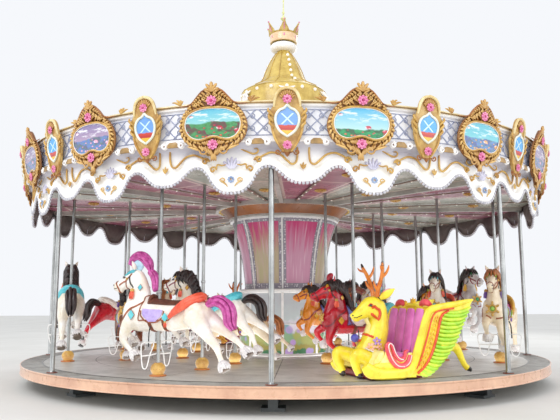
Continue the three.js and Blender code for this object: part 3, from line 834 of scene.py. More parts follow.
POLE_PROFILE = [
    (0.0005, 0.351), (0.0745, 0.351), (0.0745, 0.359), (0.071, 0.3625), (0.049, 0.364), (0.044, 0.372),
    (0.0365, 0.38), (0.034, 0.39), (0.034, 3.00), (0.0735, 3.002), (0.0735, 3.009), (0.0005, 3.009),
]
BOLT_PROFILE = [(0.0003, 0.3625), (0.0075, 0.3625), (0.0075, 0.369), (0.0055, 0.371), (0.0003, 0.371)]
POLE_FLANGE_Z = 0.366
BOLT_CIRCLE = 0.0605


def make_poles(settings):
    """Eight canopy poles, each with a painted foot flange and six bolts"""
    for k in range(8):
        steel = stainless()
        pole = turned(POLE_PROFILE, 32)
        painted(pole, steel, lacquer("foot_flange_paint"))
        banded(pole, 0.0, POLE_FLANGE_Z)
        bolts = []
        for turn in (b * math.pi / 3 for b in range(6)):
            bolt = painted(turned(BOLT_PROFILE, 6), steel)
            bolts.append(moved(bolt, at(BOLT_CIRCLE * math.cos(turn), BOLT_CIRCLE * math.sin(turn))))
        whole = moved(joined([pole, *bolts]), at(*on_circle(POLE_CIRCLE, POLE_AZ + k * math.radians(45))))
        placed(whole, f"pole_{k + 1}", "rotor", "steel", f"canopy_pole_{k + 1}")


# Piece makers: column and ceiling


def bar_on_surface(profile, width, proud):
    """Upright bar at the front that follows a profile of (radius, height) and stands proud of it"""
    outline = [(r + proud, z) for r, z in profile] + [(r - 0.004, z) for r, z in reversed(profile)]
    side = drawn([(-width / 2, -r, z) for r, z in outline], closed=True)
    edit(
        side,
        (bpy.ops.mesh.edge_face_add, {}),
        (bpy.ops.mesh.extrude_region_move, {"TRANSFORM_OT_translate": {"value": (width, 0, 0)}}),
        (bpy.ops.mesh.select_all, {"action": "SELECT"}),
        (bpy.ops.mesh.normals_make_consistent, {"inside": False}),
    )
    modified(side, "BEVEL", width=min(width, proud) * 0.3, segments=2, limit_method="ANGLE")
    return rounded(side, 40)


DRUM_PROFILE = [
    (0.60, 0.3505), (0.856, 0.3505), (0.858, 0.40), (0.846, 0.412), (0.828, 0.418), (0.824, 0.43),
    (0.824, 1.48), (0.830, 1.492), (0.852, 1.498), (0.856, 1.535), (0.842, 1.556), (0.60, 1.559),
]
FLARE = [
    (0.728, 1.5605), (0.742, 1.72), (0.765, 1.92), (0.800, 2.14), (0.846, 2.36), (0.904, 2.58),
    (0.982, 2.80),
]
HUB_PROFILE = [
    (0.90, 2.8365), (1.042, 2.8365), (1.052, 2.85), (1.046, 2.864), (1.050, 2.874), (1.240, 3.052),
    (1.256, 3.060), (1.259, 3.074), (1.24, 3.0795), (0.90, 3.0795),
]
COLUMN_AZ = math.radians(-2.5)  # first bar between the panels
HUB_LAMPS = 56
HUB_LAMP_R = 1.238
HUB_LAMP_Z = 3.032


def column_bars(profile, width, proud, material):
    """Eight upright bars round the column that follow its profile"""
    return round_ring(painted(bar_on_surface(profile, width, proud), material), 8, COLUMN_AZ)


def make_column(settings):
    """Drum with its pictures, flared panel housing, and the amber hub band with its lamps"""
    white = lacquer("column_ring_white")
    body = banded(painted(turned(DRUM_PROFILE, COLUMN_STEPS), white, column_murals()), 0.44, 1.47)
    rail = painted(turned([
        (0.82, 0.93), (0.834, 0.932), (0.834, 0.948), (0.82, 0.95),
    ], COLUMN_STEPS), white)
    bars = column_bars([(0.824, 0.42), (0.824, 1.49)], 0.045, 0.016, white)
    placed(joined([body, rail, bars]), "column_drum_panels", "rotor", "column_panel", "column_drum")

    smooth = smooth_path(FLARE, 3)
    shell = turned([(0.60, 1.5605), *smooth, (1.03, 2.812), (1.033, 2.832), (0.60, 2.8355)], COLUMN_STEPS)
    border = patterned_border()
    painted(shell, white, flare_panels(), border)
    for face in shell.data.polygons:
        face.material_index = 1 if 1.64 < face.center.z < 2.74 else (0 if face.center.z > 2.80 else 2)
    strips = column_bars(smooth, 0.13, 0.006, border)
    ridges = column_bars(smooth, 0.03, 0.016, white)
    placed(joined([shell, strips, ridges]), "column_flare_panels", "rotor", "column_panel", "column_flare")

    amber = lacquer("amber_panel_paint")
    ring = turned(HUB_PROFILE, COLUMN_STEPS)
    painted(ring, lacquer("grey_ring_paint"), amber)
    banded(ring, 2.87, 3.056)
    lamps = [on_circle(HUB_LAMP_R, k * 2 * math.pi / HUB_LAMPS, HUB_LAMP_Z) for k in range(HUB_LAMPS)]
    dots = painted(lamp_row(lamps, 0.024), lacquer("amber_lamp_cap"))
    placed(joined([ring, dots]), "hub_lamp_band", "rotor", "amber", "hub_band")


BATTEN_Z = 3.0625
CEILING_LAMP_Z = 3.052
ROSETTE_Z = 3.079


def make_ceiling(settings):
    """Painted ceiling and arms, dark battens with lamps between the arms, and gold rosettes"""
    painted(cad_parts["ceiling"], ceiling_panels())
    painted(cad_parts["ceiling_arms"], lacquer("arm_grey_paint"))
    batten = plate([(-0.022, 1.30), (0.022, 1.30), (0.022, 4.40), (-0.022, 4.40)], 0.0, 0.018, 0.004)
    moved(batten, at(z=BATTEN_Z) @ spun(math.radians(-90), "X"))
    painted(batten, lacquer("batten_brown_paint"))
    rows = round_ring(batten, BAYS, POLE_AZ + BAY / 2)
    lamps = [
        on_circle(1.55 + j * 0.33, POLE_AZ + (k + 0.5) * BAY, CEILING_LAMP_Z)
        for k in range(BAYS) for j in range(9)
    ]
    placed(joined([rows, lamp_row(lamps, 0.019)]), "ceiling_battens", "rotor", "ceiling_panel")
    rose = moved(rosette(0.115, gold_light(), gold_shade()), spun(math.radians(90), "X"))
    copies = [
        copied(rose, at(*on_circle(radius, POLE_AZ + (k + 0.75) * BAY, ROSETTE_Z)))
        for k in range(BAYS) for radius in (2.25, 3.52)
    ]
    removed(rose)
    placed(joined(copies), "ceiling_rosettes", "rotor", "gold_grp")


def rosette(size, petal, centre, rows=2):
    """Flower boss facing -Y: rings of cupped petals round a button"""
    parts = []
    for row in range(rows):
        count = 8 - 2 * row
        reach = size * (0.56 - 0.24 * row)
        for k in range(count):
            cup = ball((0, 0, 0), (size * 0.27, size * 0.16, size * (0.34 - 0.06 * row)), 8, 6)
            moved(cup, at(z=reach) @ spun(math.radians(28 + 18 * row), "X"))
            moved(cup, spun(k * 2 * math.pi / count + row * 0.4, "Y") @ at(y=-size * 0.10 * row))
            parts.append(painted(cup, petal))
    button = ball((0, -size * 0.22, 0), (size * 0.2, size * 0.16, size * 0.2), 10, 8)
    return joined([*parts, painted(button, centre)])


# Seats of the horses: the row's radius, first azimuth, size and lift at rest

ROWS = {
    "outer": {"r": 3.840, "start": -26.1, "size": 1.0, "raised": 0.0, "first": -1},
    "middle": {"r": 2.904, "start": -24.5, "size": 0.876, "raised": 0.010, "first": 1},
    "inner": {"r": 1.920, "start": -24.5, "size": 0.7216, "raised": 0.040, "first": -1},
}
CRANK_LIFT = 0.080
SEATS = []
for row_name, row in ROWS.items():
    for rank in range(8):
        if row_name == "outer" and rank in (1, 5):
            continue
        azimuth = math.radians(row["start"] + 45 * rank)
        SEATS.append({
            "row": row_name,
            "name": f"{row_name}_horse_{rank + 1}",
            "azimuth": azimuth,
            "place": on_circle(row["r"], azimuth),
            "lift": CRANK_LIFT * row["first"] * (-1) ** rank,
            "size": row["size"],
            "raised": row["raised"],
        })


# Piece makers: canopy


BAND_PROFILE = [
    (4.50, 3.2503), (4.600, 3.2503), (4.606, 3.262), (4.600, 3.276), (4.578, 3.282), (4.572, 3.296),
    (4.572, 3.680), (4.580, 3.692), (4.596, 3.700), (4.602, 3.710), (4.600, 3.7195), (4.50, 3.7195),
]


def scroll(centre, size, turns, start, thick, lead=(), hand=1):
    """Spiral bar facing -Y that thickens to its eye, after the stations that lead into it"""
    stations = list(lead)
    for t in (i / 10 for i in range(11)):
        turn = start + hand * turns * 2 * math.pi * t
        reach = size * (1 - 0.82 * t)
        stations.append((
            centre[0] + reach * math.cos(turn), -0.3 * thick * t, centre[1] + reach * math.sin(turn),
            thick * (0.8 + 0.4 * t),
        ))
    return tube(stations, 8, 3)


def leaf(points, thick):
    """Tapering carved leaf along points of (x, z, half width), flattened to that share of its width"""
    blade = tube([(x, 0.0, z, w) for x, z, w in points], 8, 3)
    for v in blade.data.vertices:
        v.co.y *= thick
    return blade


HEM_PROFILE = [(4.574, 3.2505), (4.598, 3.2515), (4.600, 3.262), (4.574, 3.264)]
RAIL_PROFILE = [
    (4.575, 3.7350), (4.612, 3.7355), (4.620, 3.742), (4.620, 3.748), (4.608, 3.7535), (4.575, 3.7540),
]
COPING_PROFILE = [(4.575, 3.7545), (4.606, 3.7545), (4.604, 3.770), (4.575, 3.770)]
LATTICE_R = 4.572
LATTICE_LOW = 3.340
LATTICE_HIGH = 3.660
LATTICE_HALF_BAR = 0.0070
LATTICE_CURLS = [
    (-0.18, 3.420), (-0.02, 3.580), (0.14, 3.420), (-0.18, 3.580), (0.14, 3.580), (-0.02, 3.420),
]
VOLUTE_R = 4.604
VOLUTE_Z = 3.248
VOLUTE_ARCH = [
    (-0.170, 3.222), (-0.014, 3.222), (-0.018, 3.262), (-0.050, 3.292), (-0.134, 3.292), (-0.166, 3.262),
]
TUFT_Z = 3.760


def make_cornice(settings):
    """White band with its rail, lattice panels, round volutes and gold leaf tufts"""
    rail_gold_and_shade = lacquer("rail_brown_gold")
    band = banded(painted(turned(BAND_PROFILE), white_gel(), lacquer("lattice_ground_lilac")), 3.30, 3.69)
    # The hem is a thin brown-gold ring along the band's lower edge: a painted shadow line under the band
    hem = painted(turned(HEM_PROFILE), rail_gold_and_shade)
    rail = painted(turned(RAIL_PROFILE), rail_gold_and_shade)
    coping = painted(turned(COPING_PROFILE), lacquer("coping_cream"))
    whole = joined([band, hem, coping, rail])
    placed(whole, "cornice_band_moulding", "rotor", "white_grp", "cornice_band")

    rise = LATTICE_HIGH - LATTICE_LOW
    panel = []
    for start in (-0.42, -0.26, -0.10, 0.06):
        for side in (-1, 1):
            a = Vector((start * side, LATTICE_LOW))
            b = Vector(((start + LATTICE_HIGH - LATTICE_LOW) * side, LATTICE_HIGH))
            off = Vector((LATTICE_LOW - LATTICE_HIGH, rise * side)).normalized() * LATTICE_HALF_BAR
            corners = [tuple(p) for p in (a - off, b - off, b + off, a + off)]
            panel.append(plate(corners, -0.012, 0.004, 0.003))
    for centre in LATTICE_CURLS:
        panel.append(moved(scroll(centre, 0.036, 1.1, math.pi / 2, 0.0065), at(y=-0.004)))
    for z in (LATTICE_LOW, LATTICE_HIGH):
        panel.append(tube([(x, -0.004, z, 0.006) for x in (-0.34, 0.0, 0.34)], 6, 4))
    lattice = painted(joined(panel), lacquer("lattice_blue_grey"))
    panel_ring(lattice, LATTICE_R, "cornice_lattice", "white_grp")

    # Volutes at the foot of each panel, with a dark gold arch between them that is painted shadow; the oval
    # is towards +X
    swag = []
    for x in (-0.207, 0.023):
        eye = scroll((x, VOLUTE_Z), 0.041, 1.4, math.pi / 2, 0.0125)
        back = ball((x, 0.006, VOLUTE_Z), (0.046, 0.020, 0.046), 14, 8)
        stud = ball((x, -0.022, VOLUTE_Z), (0.012, 0.010, 0.012), 8, 6)
        swag += [painted(moved(eye, at(y=-0.014)), white_gel()), painted(back, white_gel())]
        swag.append(painted(stud, lacquer("stud_brown")))
    swag.append(painted(plate(VOLUTE_ARCH, -0.016, 0.010, 0.006), rail_gold_and_shade))
    panel_ring(joined(swag), VOLUTE_R, "cornice_volutes", "white_grp")

    blades = []
    for lean, length in ((-64, 0.115), (-34, 0.095), (0, 0.08), (30, 0.065)):
        x = math.sin(math.radians(lean)) * length
        z = math.cos(math.radians(lean)) * length
        blades.append(leaf([
            (0, TUFT_Z, 0.008), (x * 0.4, TUFT_Z + z * 0.55, 0.015), (x * 0.8, 3.765 + z * 0.8, 0.012),
            (x * 1.15, 3.763 + z * 0.86, 0.004),
        ], 0.8))
    panel_ring(painted(joined(blades), gold_light()), VOLUTE_R, "cornice_leaf_tufts", "gold_grp")


def panel_ring(piece, radius, name, slot):
    """Repeats a flat piece on both sides of every shield, mirrored so that +X is the oval's side"""
    half = (OVAL_AZ - SHIELD_AZ) / 2
    other = wrap_round(copied(piece, MIRROR_X), radius)
    first = round_ring(wrap_round(piece, radius), BAYS, SHIELD_AZ + half)
    second = round_ring(other, BAYS, SHIELD_AZ - half)
    placed(joined([first, second]), name, "rotor", slot)


OVAL_OUTLINE = [
    (0.0, 0.428), (0.062, 0.416), (0.116, 0.380), (0.160, 0.338), (0.192, 0.298), (0.228, 0.250),
    (0.275, 0.214), (0.318, 0.168), (0.362, 0.098), (0.392, 0.015), (0.394, -0.075), (0.360, -0.175),
    (0.284, -0.255), (0.190, -0.303), (0.095, -0.330), (0.048, -0.370), (0.0, -0.408),
]
OVAL_PICTURE = [
    (0.0, 0.178), (0.12, 0.172), (0.22, 0.142), (0.295, 0.085), (0.322, 0.0), (0.305, -0.09),
    (0.245, -0.158), (0.165, -0.182), (0.095, -0.170), (0.045, -0.152), (0.0, -0.146),
]
SHIELD_OUTLINE = [
    (0.0, 0.398), (0.045, 0.390), (0.082, 0.368), (0.118, 0.320), (0.138, 0.252), (0.150, 0.185),
    (0.188, 0.124), (0.212, 0.071), (0.202, 0.018), (0.184, -0.030), (0.176, -0.080), (0.148, -0.173),
    (0.098, -0.272), (0.045, -0.342), (0.0, -0.368),
]
SHIELD_PICTURE = [
    (0.0, 0.185), (0.035, 0.145), (0.085, 0.120), (0.122, 0.07), (0.132, 0.0), (0.112, -0.075),
    (0.07, -0.135), (0.0, -0.185),
]


def both_sides(half):
    """Whole outline from its right half, top to bottom, smoothed"""
    right = smooth_path(half, 3)
    left = [(-x, z) for x, z in reversed(right[1:-1])]
    return right + left


def grown(outline, factor_x, factor_z, shift=0.0):
    """An outline scaled across and up, then lifted"""
    return [(x * factor_x, z * factor_z + shift) for x, z in outline]


def loop_tube(outline, radius, depth, sides=8):
    """Round moulding along a closed outline"""
    step = max(1, len(outline) // 40)
    return tube([(x, depth, z, radius) for x, z in outline[::step]], sides, 2, True)


def spaced(outline, count):
    """Points at even steps of the outline's own list, so that two outlines can be compared"""
    return [outline[int(k * len(outline) / count)] for k in range(count)]


def rolled_leaves(outline, inner, count, depth, size, skip=None):
    """Rolled leaves laid slantwise from the inner edge to the outline on the left, mirrored to the right"""
    leaves = []
    total = len(outline)
    for k in range(count):
        t = k / count
        i = int(t * total)
        j = int(((t + 0.035) % 1.0) * total)
        ox, oz = outline[i]
        ix, iz = inner[int((((t + 0.045) % 1.0)) * len(inner)) % len(inner)]
        if ox > 0 or skip and skip(ox, oz):
            continue
        mx = (ox + ix) / 2 + (outline[j][0] - ox) * 0.15
        mz = (oz + iz) / 2 + (outline[j][1] - oz) * 0.15
        leaves.append(tube([
            (ix, depth + 0.004, iz, size * 0.35), (mx, depth - size * 0.6, mz, size),
            (ox * 0.97, depth - size * 0.3, oz * 0.97, size * 0.8), (ox, depth + 0.006, oz, size * 0.35),
        ], 6, 2))
    return leaves + [copied(piece, MIRROR_X) for piece in leaves]


OVAL_SWEEP = [
    (0.050, -0.022, 0.420, 0.009), (0.118, -0.024, 0.384, 0.012), (0.190, -0.024, 0.304, 0.012),
    (0.245, -0.020, 0.246, 0.011), (0.320, -0.006, 0.222, 0.009), (0.400, 0.016, 0.226, 0.005),
]
OVAL_BEARD = [(0.30, 0.0, -0.262, 0.006), (0.22, -0.015, -0.292, 0.014)]
OVAL_CREST = [
    (-68, 0.085, 0.017), (-34, 0.105, 0.019), (0, 0.112, 0.022), (34, 0.105, 0.019), (68, 0.085, 0.017),
]


def make_oval():
    """Gilded oval frame with rolled leaves, a leafy crest, two rosettes and a picture, facing -Y"""
    outer = both_sides(OVAL_OUTLINE)
    window = both_sides(OVAL_PICTURE)
    parts = [painted(plate(outer, -0.012, 0.02, 0.010), carved_gold())]
    parts.append(painted(loop_tube(grown(window, 1.055, 1.075), 0.015, -0.034), gold_light()))
    parts.append(painted(loop_tube(window, 0.005, -0.036), white_gel()))
    ring = grown(window, 1.10, 1.15)
    middle = [((a[0] + b[0]) / 2, (a[1] + b[1]) / 2) for a, b in zip(spaced(outer, 80), spaced(ring, 80))]
    for inner, edge, count in ((ring, middle, 46), (middle, outer, 52)):
        for lobe in rolled_leaves(edge, inner, count, -0.024, 0.0155, lambda x, z: abs(x) < 0.04 and z > 0):
            parts.append(painted(lobe, carved_gold()))
    for side in (-1, 1):
        parts.append(painted(tube(sided(OVAL_SWEEP, side), 8, 3), gold_shade()))
        for k in range(4):
            x = side * (0.052 + 0.046 * k)
            z = 0.350 - 0.034 * k
            bud = scroll((x, z - 0.020), 0.022, 1.0, math.pi / 2, 0.008, hand=side)
            parts.append(painted(moved(bud, at(y=-0.048)), carved_gold()))
        turn = math.pi * (0.5 - side * 0.5)
        beard = scroll((side * 0.11, -0.315), 0.055, 1.1, turn, 0.013, sided(OVAL_BEARD, side), -side)
        parts.append(painted(moved(beard, at(y=-0.034)), carved_gold()))
    crest = []
    for lean, length, wide in OVAL_CREST:
        x = math.sin(math.radians(lean)) * length
        z = math.cos(math.radians(lean)) * length
        crest.append(leaf([
            (0, 0.38, 0.012), (x * 0.5, 0.385 + z * 0.5, wide), (x * 0.9, 0.385 + z * 0.85, wide * 0.9),
            (x * 1.08, 0.385 + z, 0.006),
        ], 0.9))
    for lean in (-22, 0, 22):
        x = math.sin(math.radians(lean))
        crest.append(leaf([
            (0, -0.365, 0.022), (x * 0.045, -0.405, 0.020), (x * 0.075, -0.448, 0.005),
        ], 0.9))
    parts.append(painted(moved(joined(crest), at(y=-0.034)), carved_gold()))
    for z in (0.268, -0.252):
        parts.append(moved(rosette(0.072, rose_paint(), lacquer("rose_heart_paint")), at(y=-0.052, z=z)))
    canvas = plate(grown(window, 0.99, 0.99), -0.030, -0.02, 0.0)
    give_uv(canvas, lambda co: (co.x / 0.65 + 0.5, co.z / 0.37 + 0.5))
    return joined(parts), canvas


SHIELD_EDGE = [
    (0.164, -0.022, -0.08, 0.012), (0.137, -0.026, -0.173, 0.013), (0.090, -0.026, -0.265, 0.013),
    (0.040, -0.024, -0.335, 0.012),
]
SHIELD_TOP = [
    (0.142, -0.018, 0.165, 0.010), (0.134, -0.026, 0.235, 0.015), (0.112, -0.028, 0.310, 0.018),
    (0.068, -0.028, 0.362, 0.019), (0.0, -0.028, 0.382, 0.019),
]
SHELL_RAY = [  # reach across, depth, reach up and radius
    (0.045, -0.022, 0.03, 0.006), (0.070, -0.034, 0.072, 0.010), (0.090, -0.030, 0.108, 0.011),
    (0.096, -0.018, 0.125, 0.006),
]


def make_shield():
    """Gilded pointed shield frame with a ribbed shell top and side leaves, facing -Y"""
    outer = both_sides(SHIELD_OUTLINE)
    window = grown(both_sides(SHIELD_PICTURE), 0.86, 0.86, 0.012)
    shell = lacquer("shell_gold_paint")
    parts = [painted(plate(outer, -0.020, 0.02, 0.012), lacquer("pale_gold_paint"))]
    parts.append(painted(loop_tube(grown(window, 1.12, 1.12), 0.015, -0.030), lacquer("pale_rim_paint")))
    for k in range(9):
        a = math.radians(-60 + 15 * k)
        ray = [(math.sin(a) * x, y, 0.240 + math.cos(a) * z, radius) for x, y, z, radius in SHELL_RAY]
        parts.append(painted(tube(ray, 6, 2), carved_gold()))
    for side in (-1, 1):
        for k in range(3):
            z = 0.11 - 0.07 * k
            x = side * (0.175 - 0.008 * k)
            curl = [
                (side * 0.150, -0.022, z - 0.05, 0.007), (x, -0.036, z - 0.02, 0.015),
                (x + side * 0.030, -0.034, z + 0.015, 0.014), (x + side * 0.024, -0.024, z + 0.042, 0.007),
            ]
            parts.append(painted(tube(curl, 8, 3), gold_light()))
        parts.append(painted(tube(sided(SHIELD_EDGE, side), 8, 3), gold_light()))
        parts.append(painted(tube(sided(SHIELD_TOP, side), 8, 3), shell))
        turn = math.pi * (0.5 + side * 0.5)
        foot = scroll((side * 0.10, -0.338), 0.035, 1.1, turn, 0.009, [(0.0, 0.0, -0.352, 0.008)], side)
        parts.append(painted(moved(foot, at(y=-0.02)), gold_shade()))
    tip = leaf([(0, -0.345, 0.03), (0, -0.37, 0.022), (0, -0.392, 0.005)], 0.7)
    parts.append(painted(moved(tip, at(y=-0.02)), gold_shade()))
    for z in (0.252, -0.262):
        parts.append(moved(rosette(0.060, rose_paint(), lacquer("rose_heart_paint")), at(y=-0.044, z=z)))
    canvas = plate(grown(window, 0.99, 0.99), -0.027, -0.018, 0.0)
    give_uv(canvas, lambda co: (co.x / 0.235 + 0.5, (co.z - 0.012) / 0.325 + 0.5))
    return joined(parts), canvas


SCENES = [  # picture, sky, haze, field, blossom, thicket, height of the horizon
    ("meadow_picture_a", "#5CB8E0", "#BDE3E0", "#3FA56E", "#C9505E", "#4A6C58", 0.30),
    ("meadow_picture_b", "#6B5A92", "#A98AA6", "#3563B8", "#D98FB0", "#2A3470", 0.50),
    ("meadow_picture_c", "#5FB9D4", "#A9DED2", "#4F9C62", "#BE3246", "#70434B", 0.54),
    ("meadow_picture_d", "#45AEC4", "#6CC4CC", "#4C7FC0", "#DE9A4C", "#3F4FA0", 0.46),
]
SCENE_ORDER = (0, 3, 1, 2, 0, 3, 1, 2, 0, 3, 2, 1, 0, 1, 1, 2)


def make_frames(settings):
    """Sixteen oval and sixteen shield frames with their pictures, leaning outward from the cornice"""
    oval, canvas = make_oval()
    shield, badge = make_shield()
    lean = spun(FRAME_LEAN, "X")
    oval_stance = at(y=-FRAME_R, z=FRAME_Z) @ lean @ Matrix.Diagonal((1.09, 1.0, 1.03, 1.0))
    shield_stance = at(y=-FRAME_R, z=FRAME_Z - 0.004) @ lean @ Matrix.Diagonal((1.13, 1.0, 1.08, 1.0))
    everything = []
    for k in range(BAYS):
        picture = painted(copied(canvas, oval_stance), landscape(*SCENES[SCENE_ORDER[k]]))
        everything.append(moved(joined([copied(oval, oval_stance), picture]), spun(OVAL_AZ + k * BAY)))
        name, tint = ("enamel_shield_paint", "#4FA6E6") if k % 3 else ("enamel_shield_paint_b", "#6FA0DE")
        picture = painted(copied(badge, shield_stance), emblem_paint(name, tint))
        everything.append(moved(joined([copied(shield, shield_stance), picture]), spun(SHIELD_AZ + k * BAY)))
    removed(oval, canvas, shield, badge)
    quarter = len(everything) // 4
    for part in range(4):
        group = joined(everything[part * quarter:(part + 1) * quarter])
        placed(group, f"picture_frames_{'abcd'[part]}", "rotor", "gold_grp", "picture_frames")


SCALLOPS = [
    (0.0, 2.652), (0.10, 2.662), (0.19, 2.708), (0.255, 2.795), (0.31, 2.890), (0.375, 2.958),
    (0.45, 2.980), (0.53, 2.958), (0.61, 2.895), (0.69, 2.825), (0.78, 2.780), (0.8865, 2.769),
]


def scallop_edge(count):
    """Bottom edge of one bay of the valance, from the middle of one small tip to the next"""
    right = smooth_path(SCALLOPS, 4)
    whole = [(-x, z) for x, z in reversed(right[1:])] + right
    lengths = [0.0]
    for (x0, z0), (x1, z1) in zip(whole, whole[1:]):
        lengths.append(lengths[-1] + math.hypot(x1 - x0, z1 - z0))
    result = []
    j = 0
    for i in range(count + 1):
        want = lengths[-1] * i / count
        while j < len(lengths) - 2 and lengths[j + 1] < want:
            j += 1
        t = (want - lengths[j]) / (lengths[j + 1] - lengths[j])
        result.append(tuple(a + (b - a) * t for a, b in zip(whole[j], whole[j + 1])))
    return result


VALANCE_ROWS = [  # height over the edge, as a share, and depth
    (0.0, 0.010), (0.012, 0.0), (0.055, -0.006), (0.100, 0.0), (0.118, 0.012), (0.128, 0.034), (0.25, 0.052),
    (0.45, 0.058), (0.65, 0.045), (0.82, 0.010), (0.93, -0.035), (1.0, -0.062),
]
HEM_SHARE = 0.128  # up to here the rows follow the edge, above it they even out
VALANCE_TOP = 3.2495
VALANCE_COLUMNS = 56
TIP_X = 0.8865
BEAD_R = 0.0215
LONG_SCROLL = [
    (0.812, 0.0, 3.238, 0.011), (0.815, -0.002, 3.120, 0.013), (0.800, 0.012, 3.020, 0.013),
    (0.745, 0.012, 2.990, 0.014), (0.680, 0.006, 3.040, 0.014), (0.600, 0.0, 3.110, 0.013),
    (0.500, 0.0, 3.135, 0.013), (0.420, 0.0, 3.110, 0.013),
]
SHORT_SCROLL = [(0.06, 0.0, 3.000, 0.006), (0.12, -0.004, 2.985, 0.010), (0.18, -0.004, 2.995, 0.012)]
TOP_CURL = [
    (0.05, 0.0, 3.215, 0.005), (0.16, -0.004, 3.165, 0.010), (0.27, -0.004, 3.120, 0.012),
    (0.33, -0.002, 3.145, 0.011), (0.32, 0.0, 3.185, 0.008), (0.28, 0.0, 3.180, 0.005),
]
LOW_SCROLL = [(0.045, 0.0, 2.717, 0.005), (0.075, -0.006, 2.757, 0.010)]


def valance_skin():
    """One bay of the valance, flat: a sheet that swells out over its scalloped edge"""
    edge = scallop_edge(VALANCE_COLUMNS)
    rows = len(VALANCE_ROWS) - 1
    deselect()
    bpy.ops.mesh.primitive_grid_add(x_subdivisions=VALANCE_COLUMNS, y_subdivisions=rows, size=2)
    skin = bpy.context.object
    for v in skin.data.vertices:
        share, depth = VALANCE_ROWS[round((v.co.y + 1) / 2 * rows)]
        x, z = edge[round((v.co.x + 1) / 2 * VALANCE_COLUMNS)]
        if share <= HEM_SHARE:
            height = z + share
        else:
            low = z + HEM_SHARE
            height = low + (share - HEM_SHARE) / 0.872 * (VALANCE_TOP - low)
        allowed = 0.012 + 0.04 * min(max((abs(height - CEILING_EDGE_Z) - 0.03) / 0.06, 0.0), 1.0)
        v.co = (x, min(depth, allowed), height)
    edit(skin, (bpy.ops.mesh.normals_make_consistent, {"inside": False}))
    if sum(face.normal.y for face in skin.data.polygons) > 0:
        skin.data.flip_normals()
    # The back faces of the valance get a dark brown-grey
    painted(skin, valance_gel(), lacquer("valance_back_wash"))
    modified(skin, "SOLIDIFY", thickness=0.012, offset=-1.0, material_offset=1, material_offset_rim=0)
    return rounded(skin, 45)


def valance_ornament():
    """Scrolls, palmettes, medallion and seam of one bay of the valance"""
    gold = gold_light()
    lilac = lacquer("palmette_lilac")
    quarter = math.pi * 0.5
    deco = []
    for side in (-1, 1):
        lines = (LONG_SCROLL, SHORT_SCROLL, TOP_CURL, LOW_SCROLL)
        far, near, top, low = (sided(line, side) for line in lines)
        start = quarter * (1 + side)
        long = scroll((side * 0.335, 3.045), 0.048, 1.2, start, 0.012, far, -side)
        short = scroll((side * 0.235, 2.935), 0.044, 1.1, start, 0.012, near, -side)
        curl = tube(top, 8, 3)
        foot = scroll((side * 0.105, 2.797), 0.034, 1.1, quarter * (1 - side), 0.009, low, side)
        deco += [painted(long, gold), painted(moved(short, at(y=0.004)), gold), painted(curl, gold)]
        deco.append(painted(moved(foot, at(y=-0.012)), lacquer("scroll_pale_gold")))
    for lean in (-52, -26, 0, 26, 52):
        x = math.sin(math.radians(lean))
        z = math.cos(math.radians(lean))
        blade = leaf([
            (x * 0.03, 2.945, 0.009), (x * 0.075, 2.945 + z * 0.07, 0.018),
            (x * 0.115, 2.945 + z * 0.125, 0.017), (x * 0.135, 2.94 + z * 0.155, 0.006),
        ], 0.8)
        deco.append(painted(moved(blade, at(y=0.012)), lilac))
    for lean in (-42, 0, 42):
        x = math.sin(math.radians(lean))
        z = math.cos(math.radians(lean))
        blade = leaf([
            (TIP_X, 2.930, 0.008), (TIP_X + x * 0.030, 2.930 + z * 0.045, 0.015),
            (TIP_X + x * 0.055, 2.930 + z * 0.085, 0.004),
        ], 0.8)
        deco.append(painted(moved(blade, at(y=0.014)), gold))
    turns = [i * math.pi / 14 for i in range(28)]
    medal = [(0.105 * math.cos(t) * (1 + 0.08 * math.cos(4 * t)), 2.797 + 0.085 * math.sin(t)) for t in turns]
    deco.append(painted(plate(medal, -0.010, 0.004, 0.005), white_gel()))
    deco.append(moved(rosette(0.052, lacquer("emblem_blue_grey"), gold, 1), at(y=-0.020, z=2.804)))
    seam = tube([(TIP_X, y, z, 0.003) for y, z in ((0.010, 2.79), (0.030, 2.90), (0.045, 2.97))], 6, 2)
    return joined([*deco, painted(seam, lilac)])


def make_valance(settings):
    """Scalloped valance in sixteen bays, with its ornament and a bead fringe along the edge"""
    skin = valance_skin()
    ornament = valance_ornament()
    bead = painted(ball((0, 0, 0), (BEAD_R, BEAD_R, BEAD_R), 8, 6), lacquer("fringe_bead_glass"))
    beads = [copied(bead, at(x, 0.010, z - 0.016)) for x, z in scallop_edge(settings.beads)[:-1]]
    removed(bead)
    fringe = joined(beads)
    skirt, carving, edging = (
        round_ring(wrap_round(flat, VALANCE_R), BAYS, SCALLOP_AZ) for flat in (skin, ornament, fringe)
    )
    rounded(clean(skirt, 0.0006), 45)
    placed(skirt, "valance_skirt", "rotor", "white_grp", "valance")
    placed(carving, "valance_ornament", "rotor", "gold_grp")
    placed(edging, "valance_bead_fringe", "rotor", "white_grp")


ROOF_PROFILE = [
    (4.5995, 3.7205), (4.5995, 3.745), (4.560, 3.752), (3.9, 3.975), (3.0, 4.265), (2.0, 4.585),
    (1.0, 4.892), (0.962, 4.920), (0.90, 4.920), (0.90, 4.885), (4.44, 3.7205),
]


def make_roof(settings):
    """Cream roof cone with its ribs"""
    shell = painted(turned(ROOF_PROFILE), lacquer("roof_cream_gel"))
    rib = tube([(0, -4.56, 3.762, 0.016), (0, -3.0, 4.282, 0.016), (0, -1.02, 4.905, 0.014)], 8, 2)
    ribs = round_ring(painted(rib, lacquer("roof_rib_gold")), BAYS, POLE_AZ)
    placed(joined([shell, ribs]), "roof_panels", "rotor", "roof_cream", "roof")


